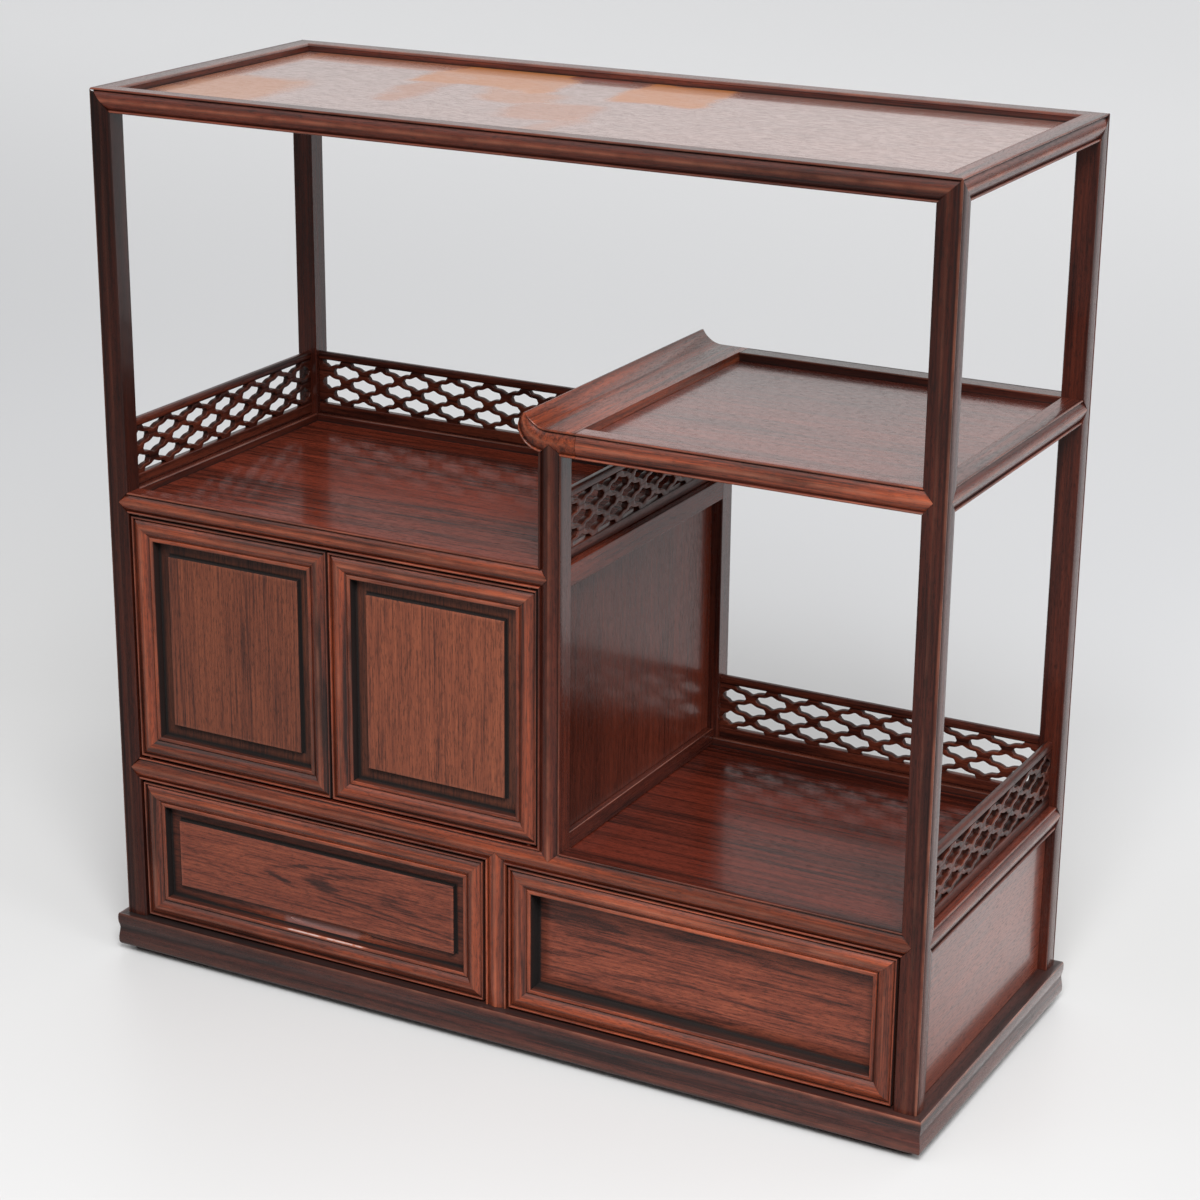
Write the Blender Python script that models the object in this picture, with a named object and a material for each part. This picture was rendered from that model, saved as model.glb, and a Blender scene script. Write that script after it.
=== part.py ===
"""A rosewood tea cabinet: post and rail carcass, open shelves with pierced galleries, two doors and two drawers."""

import math

import bmesh
import bpy
from mathutils import Matrix, Vector

# Overall sizes in metres. X runs to the right, Y to the back, Z up, the floor is at zero.
BODY_WIDTH = 0.900
BODY_DEPTH = 0.368
TOTAL_HEIGHT = 0.9155
POST_WIDTH = 0.0236
POST_DEPTH = 0.0220

# Fits between fixed pieces
GAP = 0.0003

# Base
FOOT_HEIGHT = 0.007
FOOT_LENGTH = 0.094
FOOT_DEPTH = 0.050
FOOT_SETBACK = 0.012
PLINTH_HEIGHT = 0.0362
PLINTH_OVERHANG = 0.0078
PLINTH_WIDTH = 0.042
PLINTH_REBATE = 0.008
# Plinth face from the floor up: share of the overhang cut back, and share of the height
PLINTH_PROFILE = (
    (0.30, 0.0),
    (0.03, 0.12),
    (0.0, 0.26),
    (0.03, 0.40),
    (0.30, 0.51),
    (0.54, 0.57),
    (0.42, 0.63),
    (0.03, 0.70),
    (0.0, 0.84),
    (0.12, 0.94),
    (0.45, 1.0),
)

# Levels of the rails, measured to their undersides
MIDDLE_Z = 0.1996
HEAD_Z = 0.4889
SHELF_Z = 0.6210
RAIL_HEIGHT = 0.0245
HEAD_HEIGHT = 0.0220
TOP_HEIGHT = 0.0230

# Boards lie below the rims of their frames, on a ledge of the long rails
BOARD_THICK = 0.008
RIM_RECESS = 0.008
RIM_SLOPE = 0.004
LEDGE = 0.006
BOTTOM_THICK = 0.009

# Face moulding: a bead on each edge, a quirk beside it, and two bands rising to a ridge
BEAD = 0.0024
BEAD_DROP = 0.0012
QUIRK = 0.0006
QUIRK_DROP = 0.0024

# Pointed shoulder of a rail where it enters the face of a post
TIP_LENGTH = 0.0105
TIP_DEPTH = 0.0070
# Length left on a bar for its point, as a share of the point, and how far a cutter runs past the wood
TIP_SPARE = 1.5
CUT_REACH = 0.042

# Uprights inside the carcass
DIVIDER_X = 0.0591
DIVIDER_WIDTH = 0.0240
STILE_WIDTH = 0.0226
GUIDE_THICK = 0.018

# Fixed panels
SIDE_RECESS = 0.010
SIDE_THICK = 0.009
PARTITION_RECESS = 0.0115
PARTITION_THICK = 0.007
PARTITION_STRIP = 0.018
BACK_RECESS = 0.007
BACK_THICK = 0.006

# Curled end of the upper shelf
CURL_LEFT = 0.0257
CURL_RIGHT = 0.0860
CURL_RISE = 0.0135
CURL_STEPS = 5
# Shares of the curl: the hollow's width and rise, the tip's inner and outer edge and its rounding
HOLLOW_WIDE = 0.73
HOLLOW_RISE = 0.86
TIP_INNER = 0.24
TIP_OUTER = 0.15
TIP_ROUND = 0.08
# Shares of the outside of the curl: where it turns in, how far it leans there, and its round's end
BELLY_RISE = 0.60
BELLY_LEAN = 0.03
ROUND_RISE = 0.86
ROUND_END = 0.24

# Pierced galleries
GALLERY_THICK = 0.009
GALLERY_RECESS = 0.0085
GALLERY_TOP = 0.0087
GALLERY_ROW = 0.0123
GALLERY_BASE = 0.0110
GALLERY_ROWS = 4
GALLERY_END = 0.0114
OPENING_LONG = 0.0163
OPENING_SHOULDER = 0.0122
OPENING_WAIST = 0.0042
OPENING_HIGH = 0.0076
OPENING_STUB = 0.45
# Half periods of the lattice along each gallery, and the row which is pierced at its ends
SIDE_COLUMNS = 12
BACK_LEFT_COLUMNS = 20
BACK_RIGHT_COLUMNS = 14
BASE_ROW = 0
NEXT_ROW = 1

# Doors and drawer fronts
FRONT_SETBACK = 0.001
FRAME_WIDTH = 0.0240
DOOR_THICK = 0.026
DOOR_GAP = 0.0017
DOOR_CLEAR = 0.0022
PANEL_SINK = 0.014
PANEL_THICK = 0.008
PANEL_TONGUE = 0.005
FIELD_RISE = 0.006
FIELD_MARGIN = 0.015
FIELD_BEVEL = 0.0012
PIVOT_INSET = 0.010
PIVOT_BACK = 0.006
PEG_RADIUS = 0.0025
PEG_LENGTH = 0.006
PEG_PLAY = 0.0004
PEG_ROOT = 0.005
PEG_SIDES = 12

# Drawers
DRAWER_THICK = 0.030
DRAWER_GAP = 0.0022
DRAWER_LIFT = 0.0025
DRAWER_SIDE = 0.010
DRAWER_FLOOR = 0.007
DRAWER_DROP = 0.014
DRAWER_PLAY = 0.0010
DRAWER_BACK_CLEAR = 0.006
FLAT_SINK = 0.0215
FLAT_THICK = 0.006
PULL_LENGTH = 0.100
PULL_HEIGHT = 0.013
PULL_DEPTH = 0.005
PULL_SHIFT = 0.016
PULL_SIDES = 12
PULL_RINGS = 8

# Derived levels and planes
FRONT_Y = -BODY_DEPTH / 2
BACK_Y = BODY_DEPTH / 2
LEFT_X = -BODY_WIDTH / 2
RIGHT_X = BODY_WIDTH / 2
PLINTH_Z = FOOT_HEIGHT + PLINTH_HEIGHT
MIDDLE_TOP = MIDDLE_Z + RAIL_HEIGHT
HEAD_TOP = HEAD_Z + HEAD_HEIGHT
SHELF_TOP = SHELF_Z + RAIL_HEIGHT
TOP_Z = TOTAL_HEIGHT - TOP_HEIGHT
INNER_LEFT = LEFT_X + POST_WIDTH
INNER_RIGHT = RIGHT_X - POST_WIDTH
INNER_FRONT = FRONT_Y + POST_DEPTH
INNER_BACK = BACK_Y - POST_DEPTH
DIVIDER_LEFT = DIVIDER_X - DIVIDER_WIDTH / 2
DIVIDER_RIGHT = DIVIDER_X + DIVIDER_WIDTH / 2
GALLERY_HEIGHT = GALLERY_TOP + GALLERY_ROWS * GALLERY_ROW + GALLERY_BASE

# Local axes of a bar: along it, inwards from its outer face, and across that face
FACE_FRONT = Matrix(((1, 0, 0, 0), (0, 1, 0, FRONT_Y), (0, 0, 1, 0), (0, 0, 0, 1)))
FACE_BACK = Matrix(((1, 0, 0, 0), (0, -1, 0, BACK_Y), (0, 0, 1, 0), (0, 0, 0, 1)))
FACE_LEFT = Matrix(((0, 1, 0, LEFT_X), (1, 0, 0, 0), (0, 0, 1, 0), (0, 0, 0, 1)))
FACE_RIGHT = Matrix(((0, -1, 0, RIGHT_X), (1, 0, 0, 0), (0, 0, 1, 0), (0, 0, 0, 1)))
FACE_PARTITION = Matrix(((0, -1, 0, DIVIDER_RIGHT), (1, 0, 0, 0), (0, 0, 1, 0), (0, 0, 0, 1)))
UPRIGHT_FRONT = Matrix(((0, 0, 1, 0), (0, 1, 0, FRONT_Y), (1, 0, 0, 0), (0, 0, 0, 1)))
UPRIGHT_BACK = Matrix(((0, 0, 1, 0), (0, -1, 0, BACK_Y), (1, 0, 0, 0), (0, 0, 0, 1)))

# Finishes: linear colour and roughness
FRAME_WOOD = ((0.105, 0.030, 0.020), 0.32)
PANEL_WOOD = ((0.170, 0.052, 0.026), 0.34)
BOARD_WOOD = ((0.130, 0.042, 0.026), 0.28)
INNER_WOOD = ((0.360, 0.230, 0.120), 0.60)

for old in list(bpy.data.objects):
    bpy.data.objects.remove(old, do_unlink=True)

parts = bpy.data.collections.new("tea_cabinet")
cutters = bpy.data.collections.new("joinery_cutters")
bpy.context.scene.collection.children.link(parts)
bpy.context.scene.collection.children.link(cutters)
pending_cuts = {}


def wood(name, finish):
    """The lacquered or plain wood of one piece."""
    colour, roughness = finish
    material = bpy.data.materials.new(name + "_wood")
    material.use_nodes = True
    shader = material.node_tree.nodes["Principled BSDF"]
    shader.inputs["Base Color"].default_value = (*colour, 1.0)
    shader.inputs["Roughness"].default_value = roughness
    shader.inputs["Metallic"].default_value = 0.0
    return material


def face_out(bm):
    """Point every face of a closed shape outwards."""
    bmesh.ops.recalc_face_normals(bm, faces=bm.faces[:])
    if bm.calc_volume(signed=True) < 0:
        bmesh.ops.reverse_faces(bm, faces=bm.faces[:])


def finish_piece(name, bm, finish, matrix=None, pivot=None):
    """Turn a bmesh into a named piece placed by its own origin, or under the empty it moves with."""
    if matrix is not None:
        bm.transform(matrix)
    face_out(bm)
    low = Vector([min(v.co[i] for v in bm.verts) for i in range(3)])
    high = Vector([max(v.co[i] for v in bm.verts) for i in range(3)])
    origin = (low + high) / 2
    bmesh.ops.translate(bm, verts=bm.verts[:], vec=-origin)
    mesh = bpy.data.meshes.new(name)
    bm.to_mesh(mesh)
    bm.free()
    piece = bpy.data.objects.new(name, mesh)
    piece.data.materials.append(wood(name, finish))
    parts.objects.link(piece)
    piece.location = origin
    if pivot is not None:
        piece.parent = pivot
        piece.location = origin - pivot.location
    return piece


def pivot_empty(name, location):
    """The axis a moving piece turns or slides on."""
    empty = bpy.data.objects.new(name, None)
    empty.location = location
    parts.objects.link(empty)
    return empty


def block(low, high):
    """A plain rectangular piece between two corners."""
    bm = bmesh.new()
    bmesh.ops.create_cube(bm, size=1.0)
    for vert in bm.verts:
        for i in range(3):
            vert.co[i] = high[i] if vert.co[i] > 0 else low[i]
    return bm


def prism(section, start, stop):
    """A bar along its first axis with the given section of (inwards, across) points."""
    bm = bmesh.new()
    ends = [[bm.verts.new((s, n, t)) for n, t in section] for s in (start, stop)]
    count = len(section)
    bm.faces.new(ends[0])
    bm.faces.new(ends[1][::-1])
    for i in range(count):
        j = (i + 1) % count
        bm.faces.new((ends[0][i], ends[1][i], ends[1][j], ends[0][j]))
    bmesh.ops.recalc_face_normals(bm, faces=bm.faces[:])
    return bm


def slice_off(bm, point, normal):
    """Cut off what lies on the side the normal points to, half a joint gap early, and close the end."""
    normal = Vector(normal).normalized()
    point = Vector(point) - normal * GAP / 2
    geometry = bm.verts[:] + bm.edges[:] + bm.faces[:]
    cut = bmesh.ops.bisect_plane(
        bm, geom=geometry, dist=1e-7, plane_co=point, plane_no=normal, clear_outer=True
    )
    rim = [e for e in cut["geom_cut"] if isinstance(e, bmesh.types.BMEdge)]
    bmesh.ops.edgeloop_fill(bm, edges=rim)


def add_cut(name, bm, matrix=None):
    """Note a hollow to be cut from the named piece."""
    if matrix is not None:
        bm.transform(matrix)
    face_out(bm)
    pending_cuts.setdefault(name, []).append(bm)


def cut_pieces():
    """Cut the noted hollows from their pieces."""
    for name, shapes in pending_cuts.items():
        mesh = bpy.data.meshes.new(name + "_cutter")
        whole = bmesh.new()
        for shape in shapes:
            shape.to_mesh(mesh)
            shape.free()
            whole.from_mesh(mesh)
        whole.to_mesh(mesh)
        whole.free()
        cutter = bpy.data.objects.new(name + "_cutter", mesh)
        cutter.hide_render = True
        cutter.display_type = "WIRE"
        cutters.objects.link(cutter)
        modifier = bpy.data.objects[name].modifiers.new("joinery", "BOOLEAN")
        modifier.operation = "DIFFERENCE"
        modifier.solver = "EXACT"
        modifier.object = cutter


def moulded(width):
    """The moulded face as (across, drop) points from one edge to the other."""
    half = [(0.0, BEAD_DROP), (BEAD, BEAD_DROP), (BEAD + QUIRK, QUIRK_DROP)]
    other = [(width - u, drop) for u, drop in reversed(half)]
    return half + [(width / 2, 0.0)] + other


def corner_section(width, depth, face_moulded=True):
    """An upright with a moulded outer side, and a moulded or plain face, as (from side, from face) points."""
    side = [(drop, v) for v, drop in reversed(moulded(depth))]
    if face_moulded:
        face = [(BEAD_DROP, BEAD_DROP)] + [(u, drop) for u, drop in moulded(width)[1:]]
        return side[:-1] + face + [(width, depth)]
    return side + [(width, 0.0), (width, depth)]


def rail_section(low, height, depth, moulding=True, rim=True, ledge=True):
    """A rail as (inwards, up) points: moulded face, sloping rim above the board, ledge under it."""
    high = low + height
    if moulding:
        face = [(drop, low + u) for u, drop in moulded(height)]
    else:
        face = [(0.0, low), (0.0, high)]
    inner = [(depth, high)]
    if rim:
        inner = [(depth - RIM_SLOPE, high), (depth, high - RIM_RECESS)]
    foot = [(depth, low)]
    if ledge:
        shelf = high - RIM_RECESS - BOARD_THICK - GAP
        foot = [(depth, shelf), (depth + LEDGE, shelf), (depth + LEDGE, low)]
    return face + inner + foot


def point_end(bm, shoulder, sign, low, height):
    """Point the end of a bar in the plane of its face."""
    tip = (shoulder + sign * TIP_LENGTH, 0.0, low + height / 2)
    slice_off(bm, tip, (sign * height / 2, 0.0, TIP_LENGTH))
    slice_off(bm, tip, (sign * height / 2, 0.0, -TIP_LENGTH))


def tip_relief(shoulder, sign, low, height):
    """The wood taken away behind the pointed tip of a bar, back to its square shoulder."""
    near, far = sorted((shoulder, shoulder + sign * TIP_SPARE * TIP_LENGTH))
    return block((near, TIP_DEPTH, low - CUT_REACH), (far, CUT_REACH, low + height + CUT_REACH))


def tip_notch(face, sign, low, height):
    """The pointed notch which takes the tip of a bar, in that bar's axes."""
    half = height / 2
    reach = TIP_LENGTH + GAP / (half / math.hypot(half, TIP_LENGTH))
    mouth = (reach + BEAD) * half / TIP_LENGTH
    middle = low + half
    outside = face - sign * BEAD
    outline = [(face + sign * reach, middle), (outside, middle + mouth), (outside, middle - mouth)]
    bm = bmesh.new()
    ends = []
    for n in (-BEAD, TIP_DEPTH + GAP):
        ends.append([bm.verts.new((s, n, t)) for s, t in outline])
    bm.faces.new(ends[0])
    bm.faces.new(ends[1][::-1])
    count = len(outline)
    for i in range(count):
        j = (i + 1) % count
        bm.faces.new((ends[0][i], ends[1][i], ends[1][j], ends[0][j]))
    return bm


def pointed_rail(name, section, axes, low, height, left, right):
    """A rail whose ends may be pointed into the pieces named there; each end is (face, piece or None)."""
    start = left[0] + GAP
    stop = right[0] - GAP
    ends = ((left, start, -1), (right, stop, 1))
    reach = [s + sign * TIP_LENGTH * TIP_SPARE if end[1] else s for end, s, sign in ends]
    bm = prism(section, *reach)
    for end, shoulder, sign in ends:
        if end[1]:
            point_end(bm, shoulder, sign, low, height)
            add_cut(name, tip_relief(shoulder, sign, low, height), axes)
            add_cut(end[1], tip_notch(end[0], sign, low, height), axes)
    return finish_piece(name, bm, FRAME_WOOD, axes)


def build_base():
    """Four foot pads, the mitred plinth frame, and the floor of the drawer bay."""
    outer_x = RIGHT_X + PLINTH_OVERHANG
    outer_y = BACK_Y + PLINTH_OVERHANG
    for side, sx in (("left", -1), ("right", 1)):
        for place, sy in (("front", -1), ("back", 1)):
            xs = sorted((sx * (outer_x - FOOT_SETBACK), sx * (outer_x - FOOT_SETBACK - FOOT_LENGTH)))
            ys = sorted((sy * (outer_y - FOOT_SETBACK), sy * (outer_y - FOOT_SETBACK - FOOT_DEPTH)))
            pad = block((xs[0], ys[0], 0.0), (xs[1], ys[1], FOOT_HEIGHT - GAP))
            finish_piece("foot_" + place + "_" + side, pad, FRAME_WOOD)
    section = []
    for cut, rise in PLINTH_PROFILE:
        section.append(((cut - 1.0) * PLINTH_OVERHANG, FOOT_HEIGHT + rise * PLINTH_HEIGHT))
    inner = PLINTH_WIDTH - PLINTH_OVERHANG
    step = PLINTH_Z - BOTTOM_THICK - GAP
    section += [(inner - PLINTH_REBATE, PLINTH_Z), (inner - PLINTH_REBATE, step), (inner, step)]
    section += [(inner, FOOT_HEIGHT)]
    sides = (
        ("plinth_front", FACE_FRONT, RIGHT_X, outer_x),
        ("plinth_back", FACE_BACK, RIGHT_X, outer_x),
        ("plinth_left", FACE_LEFT, BACK_Y, outer_y),
        ("plinth_right", FACE_RIGHT, BACK_Y, outer_y),
    )
    for name, axes, corner, reach in sides:
        bm = prism(section, -reach, reach)
        for sign in (-1, 1):
            slice_off(bm, (sign * corner, 0.0, 0.0), (sign, 1.0, 0.0))
        finish_piece(name, bm, FRAME_WOOD, axes)
    edge = PLINTH_WIDTH - PLINTH_OVERHANG - PLINTH_REBATE + GAP
    low = (LEFT_X + edge, FRONT_Y + edge, PLINTH_Z - BOTTOM_THICK)
    high = (RIGHT_X - edge, BACK_Y - edge, PLINTH_Z)
    finish_piece("bottom_board", block(low, high), INNER_WOOD)


def build_posts():
    """The four corner posts, each ending in a three-way mitre under the top corner."""
    for side, sx in (("left", 1), ("right", -1)):
        for place, sy in (("front", 1), ("back", -1)):
            section = corner_section(POST_WIDTH, POST_DEPTH, place == "front")
            bm = prism(section, PLINTH_Z + GAP, TOTAL_HEIGHT)
            top = (TOTAL_HEIGHT, 0.0, 0.0)
            slice_off(bm, top, (1 / TOP_HEIGHT, 1 / POST_WIDTH, 0.0))
            slice_off(bm, top, (1 / TOP_HEIGHT, 0.0, 1 / POST_DEPTH))
            axes = Matrix(
                (
                    (0, sx, 0, -sx * RIGHT_X),
                    (0, 0, sy, -sy * BACK_Y),
                    (1, 0, 0, 0),
                    (0, 0, 0, 1),
                )
            )
            finish_piece("post_" + place + "_" + side, bm, FRAME_WOOD, axes)


def build_top():
    """The mitred top frame and the panel lying below its rim."""
    rails = (
        ("top_rail_front", FACE_FRONT, RIGHT_X, POST_WIDTH, POST_DEPTH, True, True),
        ("top_rail_back", FACE_BACK, RIGHT_X, POST_WIDTH, POST_DEPTH, False, True),
        ("top_rail_left", FACE_LEFT, BACK_Y, POST_DEPTH, POST_WIDTH, True, False),
        ("top_rail_right", FACE_RIGHT, BACK_Y, POST_DEPTH, POST_WIDTH, True, False),
    )
    for name, axes, corner, along, across, moulding, ledge in rails:
        section = rail_section(TOP_Z, TOP_HEIGHT, across, moulding, True, ledge)
        bm = prism(section, -corner, corner)
        for sign in (-1, 1):
            point = (sign * corner, 0.0, TOTAL_HEIGHT)
            slice_off(bm, point, (sign / along, 0.0, -1 / TOP_HEIGHT))
            slice_off(bm, point, (sign / along, 1 / across, 0.0))
        finish_piece(name, bm, FRAME_WOOD, axes)
    high = TOTAL_HEIGHT - RIM_RECESS
    low = (INNER_LEFT + GAP, INNER_FRONT + GAP, high - BOARD_THICK)
    panel = block(low, (INNER_RIGHT - GAP, INNER_BACK - GAP, high))
    finish_piece("top_panel", panel, PANEL_WOOD)


def shelf_board(name, left, right, rim_top):
    """A board between the rims of a shelf frame."""
    high = rim_top - RIM_RECESS
    low = (left + GAP, INNER_FRONT + GAP, high - BOARD_THICK)
    finish_piece(name, block(low, (right - GAP, INNER_BACK - GAP, high)), BOARD_WOOD)


def build_rails():
    """The rails of the shelves, pointed into the faces of the posts."""
    front_left = (INNER_LEFT, "post_front_left")
    front_right = (INNER_RIGHT, "post_front_right")
    middle = rail_section(MIDDLE_Z, RAIL_HEIGHT, POST_DEPTH)
    pointed_rail("middle_rail_front", middle, FACE_FRONT, MIDDLE_Z, RAIL_HEIGHT, front_left, front_right)
    head = rail_section(HEAD_Z, HEAD_HEIGHT, POST_DEPTH)
    divider = (DIVIDER_LEFT, "divider_post_front")
    pointed_rail("head_rail_front", head, FACE_FRONT, HEAD_Z, HEAD_HEIGHT, front_left, divider)
    shelf = rail_section(SHELF_Z, RAIL_HEIGHT, POST_DEPTH)
    curl = (CURL_RIGHT, None)
    pointed_rail("shelf_rail_front", shelf, FACE_FRONT, SHELF_Z, RAIL_HEIGHT, curl, front_right)

    middle = rail_section(MIDDLE_Z, RAIL_HEIGHT, POST_DEPTH, False)
    left = (INNER_LEFT, None)
    right = (INNER_RIGHT, None)
    pointed_rail("middle_rail_back", middle, FACE_BACK, MIDDLE_Z, RAIL_HEIGHT, left, right)
    head = rail_section(HEAD_Z, HEAD_HEIGHT, POST_DEPTH, False)
    divider = (DIVIDER_LEFT, None)
    pointed_rail("head_rail_back", head, FACE_BACK, HEAD_Z, HEAD_HEIGHT, left, divider)
    shelf = rail_section(SHELF_Z, RAIL_HEIGHT, POST_DEPTH, False)
    pointed_rail("shelf_rail_back", shelf, FACE_BACK, SHELF_Z, RAIL_HEIGHT, curl, right)

    sides = (
        ("middle_rail_left", FACE_LEFT, "left", MIDDLE_Z, RAIL_HEIGHT),
        ("middle_rail_right", FACE_RIGHT, "right", MIDDLE_Z, RAIL_HEIGHT),
        ("head_rail_left", FACE_LEFT, "left", HEAD_Z, HEAD_HEIGHT),
        ("shelf_rail_right", FACE_RIGHT, "right", SHELF_Z, RAIL_HEIGHT),
    )
    for name, axes, side, low, height in sides:
        section = rail_section(low, height, POST_WIDTH, True, True, False)
        near = (INNER_FRONT, "post_front_" + side)
        far = (INNER_BACK, "post_back_" + side)
        pointed_rail(name, section, axes, low, height, near, far)
    section = rail_section(HEAD_Z, HEAD_HEIGHT, DIVIDER_WIDTH, False, True, False)
    near = (INNER_FRONT, None)
    far = (INNER_BACK, None)
    pointed_rail("partition_rail", section, FACE_PARTITION, HEAD_Z, HEAD_HEIGHT, near, far)

    shelf_board("lower_shelf_board", INNER_LEFT, INNER_RIGHT, MIDDLE_TOP)
    shelf_board("cabinet_top_board", INNER_LEFT, DIVIDER_LEFT, HEAD_TOP)
    shelf_board("upper_shelf_board", CURL_RIGHT, INNER_RIGHT, SHELF_TOP)


def build_uprights():
    """The two divider posts between the shelves and the stile between the drawers."""
    for name, axes, front in (
        ("divider_post_front", UPRIGHT_FRONT, True),
        ("divider_post_back", UPRIGHT_BACK, False),
    ):
        face = moulded(DIVIDER_WIDTH) if front else [(0.0, 0.0), (DIVIDER_WIDTH, 0.0)]
        back = [(DIVIDER_WIDTH, POST_DEPTH), (0.0, POST_DEPTH)]
        section = [(n, DIVIDER_LEFT + u) for u, n in face + back]
        low = MIDDLE_TOP + GAP
        high = SHELF_Z - GAP
        if not front:
            finish_piece(name, prism(section, low, high), FRAME_WOOD, axes)
            continue
        bm = prism(section, low - TIP_SPARE * TIP_LENGTH, high + TIP_SPARE * TIP_LENGTH)
        ends = ((low, -1, MIDDLE_TOP, "middle_rail_front"), (high, 1, SHELF_Z, "shelf_curled_end"))
        for shoulder, sign, face, other in ends:
            point_end(bm, shoulder, sign, DIVIDER_LEFT, DIVIDER_WIDTH)
            add_cut(name, tip_relief(shoulder, sign, DIVIDER_LEFT, DIVIDER_WIDTH), axes)
            add_cut(other, tip_notch(face, sign, DIVIDER_LEFT, DIVIDER_WIDTH), axes)
        finish_piece(name, bm, FRAME_WOOD, axes)
    face = [(drop, u - STILE_WIDTH / 2) for u, drop in moulded(STILE_WIDTH)]
    section = face + [(POST_DEPTH, STILE_WIDTH / 2), (POST_DEPTH, -STILE_WIDTH / 2)]
    high = MIDDLE_Z - GAP
    bm = prism(section, PLINTH_Z + GAP, high + TIP_SPARE * TIP_LENGTH)
    point_end(bm, high, 1, -STILE_WIDTH / 2, STILE_WIDTH)
    add_cut("drawer_stile", tip_relief(high, 1, -STILE_WIDTH / 2, STILE_WIDTH), UPRIGHT_FRONT)
    notch = tip_notch(MIDDLE_Z, 1, -STILE_WIDTH / 2, STILE_WIDTH)
    add_cut("middle_rail_front", notch, UPRIGHT_FRONT)
    finish_piece("drawer_stile", bm, FRAME_WOOD, UPRIGHT_FRONT)


def sunk_rim():
    """The wood taken away inside the rim of the upper shelf, sloping in on three sides."""
    bm = bmesh.new()
    ends = []
    for rise in (-RIM_RECESS, RIM_RECESS):
        spread = RIM_SLOPE * (rise + RIM_RECESS) / RIM_RECESS
        left = CURL_RIGHT - GAP - spread
        corners = (
            (left, INNER_FRONT - spread),
            (INNER_RIGHT, INNER_FRONT - spread),
            (INNER_RIGHT, INNER_BACK + spread),
            (left, INNER_BACK + spread),
        )
        ends.append([bm.verts.new((x, y, SHELF_TOP + rise)) for x, y in corners])
    bm.faces.new(ends[0])
    bm.faces.new(ends[1][::-1])
    count = len(corners)
    for i in range(count):
        j = (i + 1) % count
        bm.faces.new((ends[0][i], ends[1][i], ends[1][j], ends[0][j]))
    return bm


def build_curled_end():
    """The left end of the upper shelf, swept up into a curled lip."""
    tip_z = SHELF_TOP + CURL_RISE
    cove = DIVIDER_X - CURL_LEFT
    outline = [(CURL_RIGHT - GAP, SHELF_TOP)]
    turns = [math.pi / 2 * i / CURL_STEPS for i in range(CURL_STEPS + 1)]
    for turn in turns:
        x = CURL_LEFT + cove * (1.0 - HOLLOW_WIDE * math.sin(turn))
        z = SHELF_TOP + CURL_RISE * (1.0 - math.cos(turn)) * HOLLOW_RISE
        outline.append((x, z))
    outline.append((CURL_LEFT + TIP_INNER * cove, tip_z))
    outline.append((CURL_LEFT + TIP_OUTER * cove, tip_z - TIP_ROUND * CURL_RISE))
    middle = SHELF_Z + ROUND_RISE * RAIL_HEIGHT
    outline.append((CURL_LEFT + BELLY_LEAN * cove, middle + BELLY_RISE * (tip_z - middle)))
    round_x = DIVIDER_X - ROUND_END * cove - CURL_LEFT
    for turn in turns:
        x = CURL_LEFT + round_x * (1.0 - math.cos(turn))
        z = middle - (middle - SHELF_Z) * math.sin(turn)
        outline.append((x, z))
    outline.append((CURL_RIGHT - GAP, SHELF_Z))
    bm = bmesh.new()
    ends = []
    for y in (FRONT_Y, BACK_Y):
        ends.append([bm.verts.new((x, y, z)) for x, z in outline])
    bm.faces.new(ends[0])
    bm.faces.new(ends[1][::-1])
    count = len(outline)
    for i in range(count):
        j = (i + 1) % count
        bm.faces.new((ends[0][i], ends[1][i], ends[1][j], ends[0][j]))
    finish_piece("shelf_curled_end", bm, FRAME_WOOD)
    add_cut("shelf_curled_end", sunk_rim())


def build_panels():
    """The fixed panels between the posts, and the guide between the drawers."""
    drawer_low = PLINTH_Z + GAP
    drawer_high = MIDDLE_Z - GAP
    cabinet_low = MIDDLE_TOP + GAP
    cabinet_high = HEAD_Z - GAP
    front = INNER_FRONT + GAP
    back = INNER_BACK - GAP
    face = LEFT_X + SIDE_RECESS
    panel = block((face, front, cabinet_low), (face + SIDE_THICK, back, cabinet_high))
    finish_piece("cabinet_side_panel", panel, PANEL_WOOD)
    panel = block((face, front, drawer_low), (INNER_LEFT, back, drawer_high))
    finish_piece("drawer_side_left", panel, PANEL_WOOD)
    panel = block((INNER_RIGHT, front, drawer_low), (RIGHT_X - SIDE_RECESS, back, drawer_high))
    finish_piece("drawer_side_right", panel, PANEL_WOOD)

    face = BACK_Y - BACK_RECESS
    low = (INNER_LEFT + GAP, face - BACK_THICK, cabinet_low)
    panel = block(low, (DIVIDER_LEFT - GAP, face, cabinet_high))
    finish_piece("cabinet_back_panel", panel, INNER_WOOD)
    low = (INNER_LEFT + GAP, face - BACK_THICK, drawer_low)
    panel = block(low, (INNER_RIGHT - GAP, face, drawer_high))
    finish_piece("drawer_back_panel", panel, INNER_WOOD)

    floor = MIDDLE_TOP - RIM_RECESS + GAP
    strip_top = floor + PARTITION_STRIP
    strip = block((DIVIDER_LEFT, front, floor), (DIVIDER_RIGHT - SIDE_RECESS / 2, back, strip_top))
    finish_piece("partition_strip", strip, FRAME_WOOD)
    face = DIVIDER_RIGHT - PARTITION_RECESS
    low = (face - PARTITION_THICK, front, strip_top + GAP)
    finish_piece("partition_panel", block(low, (face, back, cabinet_high)), PANEL_WOOD)

    half = GUIDE_THICK / 2
    low = (-half, front, drawer_low)
    guide = block(low, (half, BACK_Y - BACK_RECESS - BACK_THICK - GAP, drawer_high))
    finish_piece("drawer_guide", guide, INNER_WOOD)


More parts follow.
